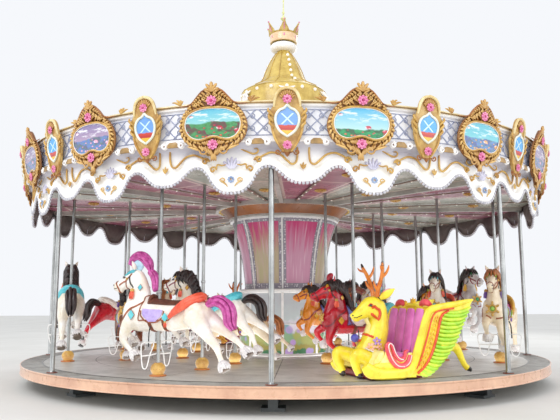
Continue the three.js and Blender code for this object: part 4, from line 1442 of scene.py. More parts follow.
DRUM_OF_DOME = [
    (0.60, 4.9205), (0.93, 4.9205), (0.93, 4.955), (0.862, 4.975), (0.845, 5.06), (0.832, 5.20),
    (0.834, 5.330), (0.828, 5.3455), (0.60, 5.3455),
]
DOME = [
    (0.835, 5.348), (0.812, 5.372), (0.745, 5.412), (0.640, 5.470), (0.530, 5.535), (0.452, 5.605),
    (0.405, 5.700), (0.368, 5.807), (0.318, 5.920), (0.262, 6.035), (0.205, 6.130), (0.150, 6.205),
    (0.128, 6.2495),
]


def dome_radius(height):
    """Radius of the bell at a height"""
    for (r0, z0), (r1, z1) in zip(DOME, DOME[1:]):
        if z0 <= height <= z1:
            return r0 + (r1 - r0) * (height - z0) / (z1 - z0)


VOLUTE_CREST = [
    (0.150, 0.014, 5.262, 0.008), (0.105, 0.004, 5.240, 0.019), (0.055, 0.0, 5.228, 0.024),
    (0.0, 0.0, 5.236, 0.022),
]
DOME_VOLUTE_Z = 5.140
DOME_RIB_AZ = math.radians(19.0)


def make_dome(settings):
    """Drum with a ring of bulbs and white volutes, then the bell with its ribs and three lines of bulbs"""
    gold = lacquer("dome_gold_paint")
    drum = painted(turned(DRUM_OF_DOME, DOME_STEPS), gold)
    lamps = [on_circle(0.842, math.radians(4 + 20 * k), 5.275) for k in range(18)]
    whole = joined([drum, lamp_row(lamps, settings.bulb_radius, 12, 8)])
    placed(whole, "dome_drum", "rotor", "white_grp", "dome_base")

    curve = smooth_path(DOME, 3)
    bell = painted(turned([(0.60, 5.3465), *curve, (0.10, 6.2495), (0.10, 6.22)], DOME_STEPS), gold)
    rib = tube([(0, -r, z + 0.004, 0.011) for r, z in DOME[1:-1]], 8, 2)
    ribs = round_ring(painted(rib, lacquer("dome_rib_gold")), 12, DOME_RIB_AZ)
    lamps = [
        on_circle(dome_radius(z) + 0.022, math.radians(azimuth), z + 0.008)
        for azimuth in (19, 139, 259) for z in (5.48 + 0.124 * k for k in range(6))
    ]
    dots = lamp_row(lamps, settings.bulb_radius * 0.9, 12, 8)
    placed(joined([bell, ribs, dots]), "dome_bell", "rotor", "dome_gold", "dome")

    circle = [(0.064 * math.cos(a), -0.006, DOME_VOLUTE_Z + 0.064 * math.sin(a), 0.030) for a in SIXTEENTHS]
    ring = tube(circle, 10, 2, True)
    crests = [tube(sided(VOLUTE_CREST, side), 10, 3) for side in (-1, 1)]
    eye = ball((0, -0.010, DOME_VOLUTE_Z), (0.026, 0.026, 0.026), 12, 8)
    volute = moved(painted(joined([ring, eye, *crests]), white_gel()), at(y=-0.868))
    placed(round_ring(volute, 6, math.radians(4.0)), "dome_skirt_volutes", "rotor", "white_grp")


CUSHION_MIDDLE = 6.335
CUSHION_CURVE = [
    (0.16, 6.2503), (0.225, 6.268), (0.258, 6.305), (0.2645, 6.335), (0.252, 6.378), (0.215, 6.405),
    (0.15, 6.4195),
]
HOOP_PROFILE = [
    (0.205, 6.4205), (0.262, 6.4205), (0.271, 6.436), (0.264, 6.452), (0.266, 6.49), (0.272, 6.58),
    (0.281, 6.592), (0.279, 6.612), (0.268, 6.620), (0.25, 6.620), (0.225, 6.48),
]
SPIKE_FOOT = 6.60
SPIKE_OUTLINE = [
    (-0.105, 6.60), (0.105, 6.60), (0.080, 6.66), (0.042, 6.72), (0.020, 6.78), (0.0, 6.805),
    (-0.020, 6.78), (-0.042, 6.72), (-0.080, 6.66),
]
CONE_PROFILE = [
    (0.0005, 6.46), (0.20, 6.46), (0.19, 6.52), (0.13, 6.58), (0.075, 6.66), (0.045, 6.78), (0.028, 6.88),
    (0.0005, 6.92),
]
CONE_BAR = [
    (0, -0.192, 6.53, 0.009), (0, -0.130, 6.60, 0.009), (0, -0.076, 6.68, 0.008), (0, -0.046, 6.79, 0.006),
]
SPIRE_PROFILE = [
    (0.0005, 6.90), (0.042, 6.93), (0.058, 6.955), (0.042, 6.985), (0.020, 7.01), (0.014, 7.05),
    (0.030, 7.085), (0.014, 7.115), (0.010, 7.30), (0.018, 7.33), (0.009, 7.36), (0.006, 7.55),
    (0.0005, 7.598),
]


def crown_spike():
    """Spike of the crown at the front, leaning out, with its stripe, knob and gem"""
    spike = plate(SPIKE_OUTLINE, -0.010, 0.008, 0.005)
    for v in spike.data.vertices:
        lean = max(0.0, v.co.z - SPIKE_FOOT)
        v.co.y -= 0.268 + lean * 0.20 + lean * lean * 0.9
    stripe = tube([(0, -0.284, 6.62, 0.012), (0, -0.309, 6.69, 0.010), (0, -0.338, 6.75, 0.005)], 6, 2)
    knob = ball((0, -0.350, 6.806), (0.018, 0.018, 0.018), 10, 8)
    gem = ball((0, -0.268, 6.525), (0.020, 0.010, 0.030), 10, 8)
    pink = [painted(piece, lacquer("crown_pink_enamel")) for piece in (stripe, knob, gem)]
    return joined([painted(spike, lacquer("crown_gold_paint")), *pink])


def make_crown(settings):
    """White cushion pinched at its seams, the crown with its spikes round a cone, and the spire"""
    cushion = turned(smooth_path(CUSHION_CURVE, 3) + [(0.0005, 6.4195), (0.0005, 6.2503)], DOME_STEPS)
    for v in cushion.data.vertices:
        turn = math.atan2(v.co.y, v.co.x)
        near = max(0.0, 1 - abs(v.co.z - CUSHION_MIDDLE) / 0.07)
        pull = 1 - 0.045 * (abs(math.cos(turn * 8)) ** 6) * near
        v.co.x *= pull
        v.co.y *= pull
    placed(painted(cushion, white_gel()), "crown_cushion_pad", "rotor", "white_grp", "crown_cushion")

    hoop = turned(HOOP_PROFILE, 64)
    painted(hoop, lacquer("crown_gold_paint"), lacquer("crown_cream_enamel"))
    for face in hoop.data.polygons:
        outer = math.hypot(*face.center.xy) > 0.255
        face.material_index = 1 if outer and face.center.z < 6.58 else 0
    parts = [hoop]
    for k in range(6):
        parts.append(moved(crown_spike(), spun(math.radians(3 + 60 * k))))
    parts.append(painted(turned(CONE_PROFILE, 32), lacquer("crown_gold_paint")))
    for k in range(8):
        bar = painted(tube(CONE_BAR, 6, 2), lacquer("crown_pink_enamel"))
        parts.append(moved(bar, spun(k * math.pi / 4 + 0.2)))
    placed(joined(parts), "crown_spikes", "rotor", "gold_grp", "crown")
    rod = painted(turned(SPIRE_PROFILE, 24), lacquer("spire_lime_gilt"))
    placed(rod, "spire_finial", "rotor", "dome_gold", "spire")


# Shaping helpers for the animals: things laid on a body's skin


def skin_of(obj):
    """Search tree of a body's skin"""
    places = [v.co.copy() for v in obj.data.vertices]
    return BVHTree.FromPolygons(places, [tuple(face.vertices) for face in obj.data.polygons])


def snapped(skin, point, lift):
    """The nearest point of a skin, lifted off it, and the skin's normal there"""
    place, normal, _, _ = skin.find_nearest(Vector(point))
    return place + normal * lift, normal


def draped(skin, rows, thick, lift=0.004):
    """A sheet laid over a body: rows of rough points, each brought onto the skin"""
    deselect()
    bpy.ops.mesh.primitive_grid_add(x_subdivisions=len(rows[0]) - 1, y_subdivisions=len(rows) - 1)
    sheet = bpy.context.object
    for vertex, point in zip(sheet.data.vertices, [p for row in rows for p in row]):
        vertex.co = snapped(skin, point, lift)[0]
    modified(sheet, "SOLIDIFY", thickness=thick, offset=0.0)
    return rounded(clean(sheet), 45)


def strap(skin, points, width, thick=0.007, steps=4, closed=False):
    """A flat strap laid on a body along rough points"""
    line = [snapped(skin, p, 0.0) for p in smooth_path(points, steps, closed)]
    rows = [[], [], []]
    count = len(line)
    for i, (place, normal) in enumerate(line):
        ahead = line[(i + 1) % count if closed else min(i + 1, count - 1)][0]
        behind = line[i - 1 if closed else max(i - 1, 0)][0]
        side = (ahead - behind).cross(normal).normalized() * width / 2
        for row, offset in zip(rows, (-1, 0, 1)):
            row.append(place + side * offset)
    if closed:
        for row in rows:
            row.append(row[0])
    return draped(skin, rows, thick)


def cord(skin, points, radius, lift=0.0, steps=4):
    """A round cord laid on a body along rough points"""
    line = [snapped(skin, p, lift)[0] for p in smooth_path(points, steps)]
    return tube([(*p, radius) for p in line], 6, 1)


def pinned(obj, skin, point, lift=0.0, turn=0.0):
    """Moves a piece that faces -Y so that it lies on a body's skin at a point"""
    place, normal = snapped(skin, point, lift)
    up = Vector((0, 0, 1))
    up = (up - normal * up.dot(normal)).normalized()
    frame_of = Matrix((up.cross(normal), -normal, up)).transposed().to_4x4()
    return moved(obj, at(*place) @ frame_of @ spun(turn, "Y"))


def limb(stations, flat=1.0, sides=12):
    """Round limb through (x, y, z, radius), narrowed sideways about its own middle plane"""
    bar = tube(stations, sides, 3)
    if flat != 1.0:
        moved(bar, Matrix.Diagonal((1, flat, 1, 1)))
    return bar


def fleshed(parts, voxel, ratio):
    """Melts overlapping parts into one smooth body"""
    body = joined(parts)
    modified(body, "REMESH", mode="VOXEL", voxel_size=voxel)
    modified(body, "SMOOTH", factor=0.5, iterations=8)
    modified(body, "DECIMATE", ratio=ratio)
    return rounded(clean(body), 75)


def hoof(end, heading, radius, length):
    """Flared hoof at the end of a leg"""
    deselect()
    bpy.ops.mesh.primitive_cone_add(vertices=14, radius1=radius, radius2=radius * 0.72, depth=length)
    shoe = bpy.context.object
    sharp = math.radians(40)
    modified(shoe, "BEVEL", width=radius * 0.14, segments=2, limit_method="ANGLE", angle_limit=sharp)
    turn = Vector(heading).to_track_quat("-Z", "Y").to_matrix().to_4x4()
    return rounded(moved(shoe, at(*end) @ turn), 50)


def locks(path, ring, radius):
    """A bunch of hair: strands that run side by side along a path of (x, y, z, spread)"""
    strands = []
    count = len(path)
    for k, (sideways, out) in enumerate(ring):
        stations = []
        for i, (x, y, z, spread) in enumerate(path):
            a = path[max(i - 1, 0)]
            b = path[min(i + 1, count - 1)]
            along = Vector((b[0] - a[0], 0, b[2] - a[2])).normalized()
            normal = Vector((along.z, 0, -along.x))
            wave = 0.12 * math.sin(1.9 * i + 2.4 * k)
            aside = Vector((0, spread * (sideways + wave * 0.6), 0))
            place = Vector((x, y, z)) + normal * spread * (out + wave) + aside
            fade = 0.25 if i == count - 1 else 0.75 if i == 0 else 1.0
            stations.append((*place, radius * fade * (0.85 + 0.15 * math.cos(2.1 * k))))
        strands.append(tube(stations, 6, 3))
    return joined(strands)


def dressed(template, matrix, colours, name, body, slot, *nodes):
    """A copy of a template at its seat, each part in this animal's own colours"""
    twin = copied(template, matrix)
    for i, material in enumerate(template.data.materials):
        twin.data.materials[i] = colours.get(material.name, material)
    return placed(twin, name, body, slot, *nodes)


def role(name):
    """Stand-in for a part's paint, exchanged when the animal is dressed"""
    return bpy.data.materials.get(name) or bpy.data.materials.new(name)


# Horses


HORSE_TRUNK = [
    (0.585, 0, 0.905, 0.05), (0.54, 0, 0.905, 0.135), (0.44, 0, 0.888, 0.20), (0.30, 0, 0.880, 0.226),
    (0.10, 0, 0.872, 0.214), (-0.16, 0, 0.858, 0.192), (-0.40, 0, 0.868, 0.180), (-0.58, 0, 0.892, 0.174),
    (-0.73, 0, 0.912, 0.145), (-0.81, 0, 0.92, 0.07),
]
HORSE_NECK = [
    (0.37, 0, 0.93, 0.21), (0.345, 0, 1.06, 0.195), (0.33, 0, 1.18, 0.168), (0.345, 0, 1.29, 0.140),
    (0.385, 0, 1.385, 0.122), (0.43, 0, 1.41, 0.105),
]
HORSE_HEAD = [
    (0.41, 0, 1.405, 0.105), (0.49, 0, 1.362, 0.114), (0.59, 0, 1.318, 0.094), (0.67, 0, 1.287, 0.076),
    (0.735, 0, 1.272, 0.069), (0.778, 0, 1.274, 0.050), (0.795, 0, 1.278, 0.022),
]
HORSE_LEGS = [
    [
        (0.42, 0.075, 0.81, 0.115), (0.485, 0.10, 0.68, 0.080), (0.515, 0.105, 0.555, 0.056),
        (0.46, 0.105, 0.478, 0.041), (0.395, 0.105, 0.423, 0.035), (0.350, 0.105, 0.388, 0.043),
        (0.312, 0.105, 0.352, 0.038),
    ],
    [
        (0.43, -0.075, 0.84, 0.110), (0.54, -0.10, 0.765, 0.078), (0.640, -0.105, 0.700, 0.055),
        (0.61, -0.105, 0.630, 0.041), (0.568, -0.105, 0.578, 0.035), (0.545, -0.105, 0.550, 0.043),
        (0.522, -0.105, 0.520, 0.038),
    ],
    [
        (-0.60, 0.065, 0.88, 0.165), (-0.70, 0.09, 0.78, 0.130), (-0.83, 0.11, 0.64, 0.078),
        (-0.965, 0.11, 0.505, 0.055), (-1.01, 0.11, 0.415, 0.040), (-1.045, 0.11, 0.340, 0.037),
        (-1.062, 0.11, 0.300, 0.046), (-1.088, 0.11, 0.262, 0.040),
    ],
    [
        (-0.60, -0.065, 0.88, 0.165), (-0.76, -0.09, 0.81, 0.128), (-0.94, -0.11, 0.70, 0.078),
        (-1.085, -0.11, 0.605, 0.055), (-1.165, -0.11, 0.545, 0.040), (-1.235, -0.11, 0.487, 0.037),
        (-1.262, -0.11, 0.462, 0.046), (-1.292, -0.11, 0.425, 0.040),
    ],
]
HOOVES = [
    ((0.288, 0.105, 0.330), (-0.75, 0, -0.66)), ((0.503, -0.105, 0.496), (-0.6, 0, -0.8)),
    ((-1.108, 0.11, 0.232), (-0.5, 0, -0.86)), ((-1.318, -0.11, 0.398), (-0.7, 0, -0.7)),
]


def horse_figure():
    """Body, legs and head melted into one, with hooves, eyes, ears and fetlock hair"""
    parts = [limb(HORSE_TRUNK, 0.80), limb(HORSE_NECK, 0.62), limb(HORSE_HEAD, 0.68)]
    parts += [limb(leg) for leg in HORSE_LEGS]
    parts += [ball((0.675, 0, 1.207), (0.052, 0.038, 0.030)), ball((0.745, 0, 1.292), (0.05, 0.052, 0.04))]
    for y in (-1, 1):
        parts.append(ball((0.40, 0.105 * y, 0.90), (0.13, 0.075, 0.19)))
        parts.append(ball((-0.62, 0.095 * y, 0.88), (0.17, 0.09, 0.18)))
        parts.append(ball((0.475, 0.035 * y, 1.335), (0.085, 0.058, 0.10)))
        parts.append(ball((0.555, 0.048 * y, 1.395), (0.05, 0.03, 0.022)))
    body = painted(fleshed(parts, 0.0135, 0.16), role("coat"))
    skin = skin_of(body)
    extras = []
    for y in (-1, 1):
        ear = limb([
            (0, 0, 0, 0.020), (0.006, 0, 0.035, 0.032), (0.012, 0, 0.075, 0.026), (0.026, 0, 0.125, 0.004),
        ], 0.5, 8)
        inner = limb([(0.016, 0, 0.015, 0.006), (0.028, 0, 0.042, 0.015), (0.034, 0, 0.090, 0.004)], 0.5, 6)
        pair = joined([painted(ear, role("coat")), painted(inner, role("inner_ear"))])
        extras.append(moved(pair, at(0.385, 0.052 * y, 1.50) @ spun(-0.30 * y, "X") @ spun(0.9 * y)))
        eye = pinned(ball((0, 0, 0), (0.021, 0.011, 0.017), 10, 8), skin, (0.565, 0.1 * y, 1.392), 0.003)
        lid = cord(skin, flanked([
            (0.593, 0.1, 1.380), (0.582, 0.1, 1.405), (0.558, 0.1, 1.412), (0.536, 0.1, 1.398),
        ], y), 0.006, 0.003, 3)
        nostril = pinned(ball((0, 0, 0), (0.015, 0.006, 0.011), 8, 6), skin, (0.772, 0.06 * y, 1.292), 0.001)
        mouth = cord(skin, flanked([
            (0.775, 0.05, 1.238), (0.735, 0.07, 1.234), (0.69, 0.07, 1.250),
        ], y), 0.0045)
        extras += [painted(eye, role("eye")), painted(lid, role("line")), painted(nostril, role("line"))]
        extras.append(painted(mouth, role("line")))
    for (end, heading), leg in zip(HOOVES, HORSE_LEGS):
        extras.append(painted(hoof(end, heading, 0.060, 0.078), role("hoof")))
        x, y, z, _ = leg[-2]
        tufts = []
        away = Vector(heading).normalized()
        across = Vector((0, 1, 0))
        behind = away.cross(across)
        for k in range(14):
            turn = math.radians(25.7 * k)
            out = behind * math.cos(turn) + across * math.sin(turn)
            root = Vector((x, y, z)) - away * 0.018
            long = 0.90 + 0.07 * (k * 5 % 4)
            tufts.append(tube([
                (*(root + out * 0.026), 0.014), (*(root + out * 0.050 + away * 0.045 * long), 0.022),
                (*(root + out * 0.064 + away * 0.085 * long), 0.021),
                (*(root + out * (0.066 + 0.005 * (k % 3)) + away * 0.118 * long), 0.012),
            ], 6, 2))
        extras.append(painted(joined(tufts), role("feather")))
    return joined([body, *extras]), skin


def flowing_mane():
    """Locks that fall on both sides from the crest of the neck, with a forelock and the tail"""
    crest = smooth_path([
        (0.50, 1.475), (0.41, 1.515), (0.30, 1.485), (0.225, 1.39), (0.175, 1.27), (0.13, 1.15),
    ], 3)
    strands = []
    for i, (x, z) in enumerate(crest):
        for y in (-1, 1):
            wave = 0.018 * math.sin(2.3 * i + y)
            long = 0.10 if i < 3 else 0.17
            strands.append(tube([
                (x, 0.010 * y, z, 0.026), (x - 0.040 + wave, 0.050 * y, z + 0.022, 0.034),
                (x - 0.035 - wave, 0.098 * y, z - long * 0.45, 0.028),
                (x - 0.060 + wave, 0.112 * y, z - long * 0.8, 0.021),
                (x - 0.095, 0.110 * y, z - long * 1.15, 0.005),
            ], 6, 2))
    for y in (-0.03, 0.0, 0.03):
        strands.append(tube([
            (0.43, y, 1.52, 0.020), (0.50, y * 1.3, 1.515, 0.024), (0.555, y * 1.7, 1.462, 0.016),
            (0.585, y * 1.9, 1.425, 0.004),
        ], 6, 2))
    return joined([joined(strands), horse_tail()])


def horse_tail():
    """Arched bunch of locks"""
    path = [
        (-0.755, 0, 1.005, 0.020), (-0.86, 0, 1.055, 0.040), (-0.97, 0, 1.055, 0.055),
        (-1.065, 0, 0.985, 0.062), (-1.105, 0, 0.885, 0.060), (-1.115, 0, 0.790, 0.052),
        (-1.165, 0, 0.700, 0.035),
    ]
    ring = [(0, 0)] + [(math.cos(a), math.sin(a)) for a in (0.3, 1.35, 2.4, 3.45, 4.5, 5.5)]
    return locks(path, ring, 0.036)


def plume_mane():
    """Tall ribbed plume over the head, a second one down the neck, and the tail"""
    top = [
        (0.515, 0, 1.575, 0.022), (0.465, 0, 1.640, 0.038), (0.375, 0, 1.680, 0.045),
        (0.275, 0, 1.655, 0.048), (0.195, 0, 1.575, 0.048), (0.155, 0, 1.480, 0.034),
    ]
    low = [
        (0.175, 0, 1.475, 0.030), (0.110, 0, 1.420, 0.042), (0.075, 0, 1.335, 0.044),
        (0.070, 0, 1.255, 0.036), (0.095, 0, 1.195, 0.016),
    ]
    ring = [
        (-0.85, 0.1), (-0.5, 0.85), (0.5, 0.85), (0.85, 0.1), (0, 1.15), (0, 0), (-0.5, -0.75),
        (0.5, -0.75),
    ]
    plumes = joined([locks(top, ring, 0.030), locks(low, ring, 0.027), horse_tail()])
    cap = ball((0.385, 0, 1.560), (0.105, 0.036, 0.095), 16, 10)
    return joined([painted(plumes, role("mane")), painted(cap, role("plume_cap"))])


def feathered_mane():
    """The falling mane with a small round feather tuft on the head"""
    tuft = [
        (0.455, 0, 1.515, 0.020), (0.440, 0, 1.575, 0.034), (0.415, 0, 1.620, 0.030),
        (0.385, 0, 1.640, 0.012),
    ]
    ring = [(0, 0), (-0.7, 0.6), (0.7, 0.6), (0.0, 1.0), (0.0, -0.8)]
    feather = painted(locks(tuft, ring, 0.024), role("plume"))
    return joined([painted(flowing_mane(), role("mane")), feather])


def diamond(size, thick):
    """Flat gem with four corners, facing -Y"""
    return plate([(0, -size), (size * 0.8, 0), (0, size), (-size * 0.8, 0)], -thick, 0.0, thick * 0.4)


def tassel(radius, length, turns=8):
    """Hanging bunch of cords under a round cap, its top at the origin"""
    size = radius * 0.8
    strands = [painted(ball((0, 0, -radius * 0.7), (size, size, size), 10, 8), role("cap"))]
    for k in range(turns):
        c, s = math.cos(2 * math.pi * k / turns), math.sin(2 * math.pi * k / turns)
        strands.append(painted(tube([
            (radius * 0.5 * c, radius * 0.35 * s, -radius * 1.1, radius * 0.25),
            (radius * 0.85 * c, radius * 0.5 * s, -length * 0.6, radius * 0.34),
            (radius * 0.8 * c, radius * 0.5 * s, -length, radius * 0.12),
        ], 5, 2), role("tassel")))
    return joined(strands)


def round_body(skin, centre, along, size_y, size_n, width, thick, kind):
    """A strap that goes all the way round a limb, neck or trunk"""
    along = Vector(along).normalized()
    normal = Vector((-along.z, 0, along.x))
    points = []
    for k in range(12):
        turn = math.radians(30 * k)
        points.append(tuple(
            Vector(centre) + Vector((0, size_y * math.cos(turn), 0)) + normal * size_n * math.sin(turn)
        ))
    return painted(strap(skin, points, width, thick, 2, True), role(kind))


def horse_tack(skin):
    """Saddle, cloth, straps, bridle, tassels and chest ornament, all laid on the body"""
    parts = []
    rows = []
    for k in range(15):
        turn = math.radians(-105 + 15 * k)
        side = abs(turn) / math.radians(105)
        front = 0.16 + 0.05 * side
        back = -0.56 + 0.30 * side**1.5
        rows.append([
            (front + (back - front) * i / 9, 0.24 * math.sin(turn), 0.87 + 0.27 * math.cos(turn))
            for i in range(10)
        ])
    parts.append(painted(draped(skin, rows, 0.010, 0.006), role("cloth")))
    edge = [rows[0][i] for i in range(10)] + [row[-1] for row in rows[1:]]
    edge += [rows[-1][i] for i in range(8, -1, -1)] + [row[0] for row in rows[-2::-1]]
    parts.append(painted(cord(skin, edge, 0.010, 0.008, 2), role("strap")))
    seat_rows = []
    for k in range(9):
        turn = math.radians(-44 + 11 * k)
        seat_rows.append([
            (0.07 - 0.56 * i / 8, 0.24 * math.sin(turn), 0.87 + 0.27 * math.cos(turn)) for i in range(9)
        ])
    parts.append(painted(draped(skin, seat_rows, 0.030, 0.020), role("seat")))
    pommel = [
        (0.085, -0.135, 1.035, 0.014), (0.095, -0.075, 1.105, 0.024), (0.10, 0, 1.135, 0.030),
        (0.095, 0.075, 1.105, 0.024), (0.085, 0.135, 1.035, 0.014),
    ]
    parts.append(painted(tube(pommel, 10, 4), role("seat")))
    cantle = [
        (-0.30, 0.19, 0.860, 0.026), (-0.40, 0.185, 0.945, 0.046), (-0.53, 0.15, 1.035, 0.060),
        (-0.64, 0.08, 1.095, 0.062), (-0.68, 0.0, 1.115, 0.058),
    ]
    whole = cantle + flanked(reversed(cantle[:-1]), -1)
    for k in range(5):
        turn = 2 * math.pi * k / 5
        c, s = math.cos(turn), math.sin(turn)
        rope = [(x + 0.5 * r * c, y, z + 0.5 * r * s, r * 0.66) for x, y, z, r in whole]
        parts.append(painted(tube(rope, 8, 3), role("roll")))
    for y in (-1, 1):
        flap_rows = []
        for k in range(6):
            drop = k / 5
            half = 0.155 * math.sqrt(max(0.12, 1 - (drop * 1.05)**3))
            flap_rows.append([
                (-0.01 + half * (1 - i / 3.5), 0.24 * y, 0.985 - 0.205 * drop) for i in range(8)
            ])
        parts.append(painted(draped(skin, flap_rows, 0.008, 0.016), role("flap")))
        hem = flanked([
            (0.17, 0.24, 0.955), (0.155, 0.24, 0.86), (0.09, 0.24, 0.785), (-0.01, 0.24, 0.765),
            (-0.11, 0.24, 0.785), (-0.175, 0.24, 0.86), (-0.185, 0.24, 0.955),
        ], y)
        parts.append(painted(cord(skin, hem, 0.009, 0.016), role("strap")))
        line = flanked([
            (0.13, 0.03, 1.12), (0.21, 0.12, 1.045), (0.33, 0.2, 0.985), (0.43, 0.2, 0.90),
            (0.505, 0.15, 0.81), (0.56, 0.04, 0.79),
        ], y)
        parts.append(painted(strap(skin, line, 0.024), role("strap")))
        for place, size in (((0.33, 0.25 * y, 0.885), 0.070), ((0.245, 0.2 * y, 1.27), 0.045)):
            parts.append(painted(pinned(diamond(size, 0.014), skin, place, 0.003), role("gem")))
            corners = [(0, -size), (size * 0.8, 0), (0, size), (-size * 0.8, 0)]
            rim = tube([(x, -0.006, z, 0.006) for x, z in corners], 6, 1, True)
            parts.append(painted(pinned(rim, skin, place, 0.003), role("strap")))
        gem = painted(diamond(0.062, 0.018), role("gem"))
        hanging = joined([gem, moved(tassel(0.022, 0.085, 6), at(0, -0.004, -0.045))])
        parts.append(pinned(hanging, skin, (-0.225, 0.25 * y, 0.845), 0.022))
        parts.append(pinned(tassel(0.036, 0.145), skin, (0.385, 0.15 * y, 1.245), 0.026))
        neck_line = flanked([(0.455, 0.12, 1.425), (0.435, 0.14, 1.34), (0.40, 0.14, 1.255)], y)
        parts.append(painted(strap(skin, neck_line, 0.018), role("dark_strap")))
        cheek = flanked([
            (0.665, 0.1, 1.285), (0.58, 0.12, 1.325), (0.50, 0.12, 1.375), (0.43, 0.1, 1.46),
        ], y)
        parts.append(painted(strap(skin, cheek, 0.020), role("strap")))
        throat = flanked([(0.51, 0.12, 1.36), (0.525, 0.09, 1.29), (0.53, 0.01, 1.22)], y)
        parts.append(painted(strap(skin, throat, 0.018), role("strap")))
        boss = painted(ball((0, -0.004, 0), (0.020, 0.010, 0.020), 10, 6), role("gold"))
        parts.append(pinned(boss, skin, (0.50, 0.12 * y, 1.378), 0.010))
        stirrup = flanked([
            (0.02, 0.160, 0.74, 0.010), (0.02, 0.185, 0.66, 0.010), (0.02, 0.190, 0.53, 0.010),
            (0.02, 0.190, 0.47, 0.010),
        ], y)
        parts.append(painted(tube(stirrup, 4, 2), role("dark_strap")))
    head_way = (0.88, 0, -0.40)
    parts.append(round_body(skin, (0.70, 0, 1.28), head_way, 0.10, 0.10, 0.020, 0.007, "strap"))
    parts.append(round_body(skin, (0.045, 0, 0.87), (1, 0, 0), 0.26, 0.30, 0.052, 0.008, "girth"))
    parts.append(round_body(skin, (-0.175, 0, 0.86), (1, 0, 0), 0.26, 0.30, 0.046, 0.008, "girth"))
    cap_rows = []
    for k in range(7):
        turn = math.radians(-66 + 22 * k)
        cap_rows.append([
            (0.555 - 0.035 * i, 0.16 * math.sin(turn), 1.40 + 0.012 * i + 0.16 * math.cos(turn))
            for i in range(5)
        ])
    parts.append(painted(draped(skin, cap_rows, 0.012, 0.008), role("gem")))
    circle = [(0.055 * math.sin(0.5236 * k), 0.055 * math.cos(0.5236 * k)) for k in range(12)]
    chest = [painted(loop_tube(circle, 0.015, -0.008, 6), role("gold"))]
    chest.append(painted(ball((0, -0.008, 0), (0.036, 0.022, 0.036), 12, 8), role("gem")))
    for k in range(6):
        petal = ball((0, -0.006, 0.088), (0.020, 0.010, 0.030), 8, 6)
        chest.append(painted(moved(petal, spun(math.radians(60 * k), "Y")), role("gold")))
    parts.append(pinned(joined(chest), skin, (0.75, 0, 0.95), 0.006))
    return joined([*parts, foot_frames()])


def horse_pole():
    """Polished pole with its collars"""
    return painted(turned([
        (0.0, -0.010), (0.024, -0.010), (0.024, 0.50), (0.030, 0.505), (0.030, 0.545), (0.024, 0.55),
        (0.024, 1.17), (0.031, 1.175), (0.033, 1.19), (0.031, 1.205), (0.024, 1.21), (0.024, 2.920),
        (0.0, 2.920),
    ], 16), stainless())


def foot_frames():
    """White tubular foot frames on both sides of the pole"""
    parts = []
    for y in (-1, 1):
        loop = flanked([
            (0.018, 0.085, 0.505, 0.0085), (0.018, 0.110, 0.525, 0.0085), (0.018, 0.290, 0.530, 0.0085),
            (0.022, 0.335, 0.490, 0.0085), (0.030, 0.320, 0.360, 0.0085), (0.036, 0.285, 0.225, 0.0085),
            (0.036, 0.235, 0.192, 0.0085), (0.034, 0.190, 0.225, 0.0085), (0.028, 0.150, 0.360, 0.0085),
            (0.020, 0.090, 0.470, 0.0085),
        ], y)
        parts.append(painted(tube(loop, 8, 4, True), role("foot_frame")))
        step = flanked([
            (0.026, 0.012, 0.372, 0.010), (0.028, 0.15, 0.362, 0.010), (0.030, 0.322, 0.362, 0.010),
        ], y)
        parts.append(painted(tube(step, 8, 2), role("foot_frame")))
        stay = flanked([(0.022, 0.010, 0.522, 0.009), (0.018, 0.11, 0.520, 0.009)], y)
        parts.append(painted(tube(stay, 8, 1), role("foot_frame")))
    return joined(parts)


HERD = {
    "outer": ["white", "", "cream", "grey", "white", "", "red", "white"],
    "middle": ["white", "red", "white", "orange", "brown", "white", "cream", "brown"],
    "inner": ["cream", "orange", "white", "white", "red", "cream", "brown", "white"],
}
PLUMED = ("outer_horse_1", "middle_horse_6", "inner_horse_4")
TACK_SETS = [
    {"cloth": "ivory", "flap": "lilac", "roll": "coral", "gem": "aqua", "tassel": "coral", "strap": "tan"},
    {"cloth": "rose", "flap": "sky", "roll": "gold", "gem": "lime", "tassel": "violet", "strap": "tan"},
    {"cloth": "slate", "flap": "ivory", "roll": "aqua", "gem": "gold", "tassel": "coral", "strap": "wine"},
    {"cloth": "wine", "flap": "gold", "roll": "ivory", "gem": "green", "tassel": "gold", "strap": "wine"},
]
TACK_PICKS = {
    "outer_horse_1": 0, "outer_horse_3": 1, "outer_horse_4": 3, "outer_horse_8": 2, "middle_horse_2": 2,
}


def horse_colours(seat):
    """Each horse's coat, hair and tack colours; the ones in view follow the photograph"""
    rank = int(seat["name"][-1]) - 1
    kind = HERD[seat["row"]][rank]
    mane = "chestnut" if kind == "cream" else "dark"
    if seat["name"] in PLUMED:
        mane = "magenta"
    tack = TACK_SETS[TACK_PICKS.get(seat["name"], (rank + len(seat["row"])) % len(TACK_SETS))]
    colours = {part: paint(name) for part, name in tack.items()}
    colours.update({
        "coat": coat(kind), "mane": hair(mane), "feather": hair("pale"), "plume": hair("red"),
        "hoof": paint("soot" if kind == "red" else "hoof"), "plume_cap": paint("pale_aqua"),
        "eye": eye_glass(), "line": paint("line"), "inner_ear": paint("blush"),
        "gold": gold_light(), "cap": gold_light(), "girth": leather("brown"), "dark_strap": leather("black"),
        "seat": leather("red" if kind == "grey" else "saddle"), "foot_frame": lacquer("foot_frame_white"),
    })
    style = "plumed" if mane == "magenta" else ("feathered" if kind == "red" else "falling")
    return colours, style, kind


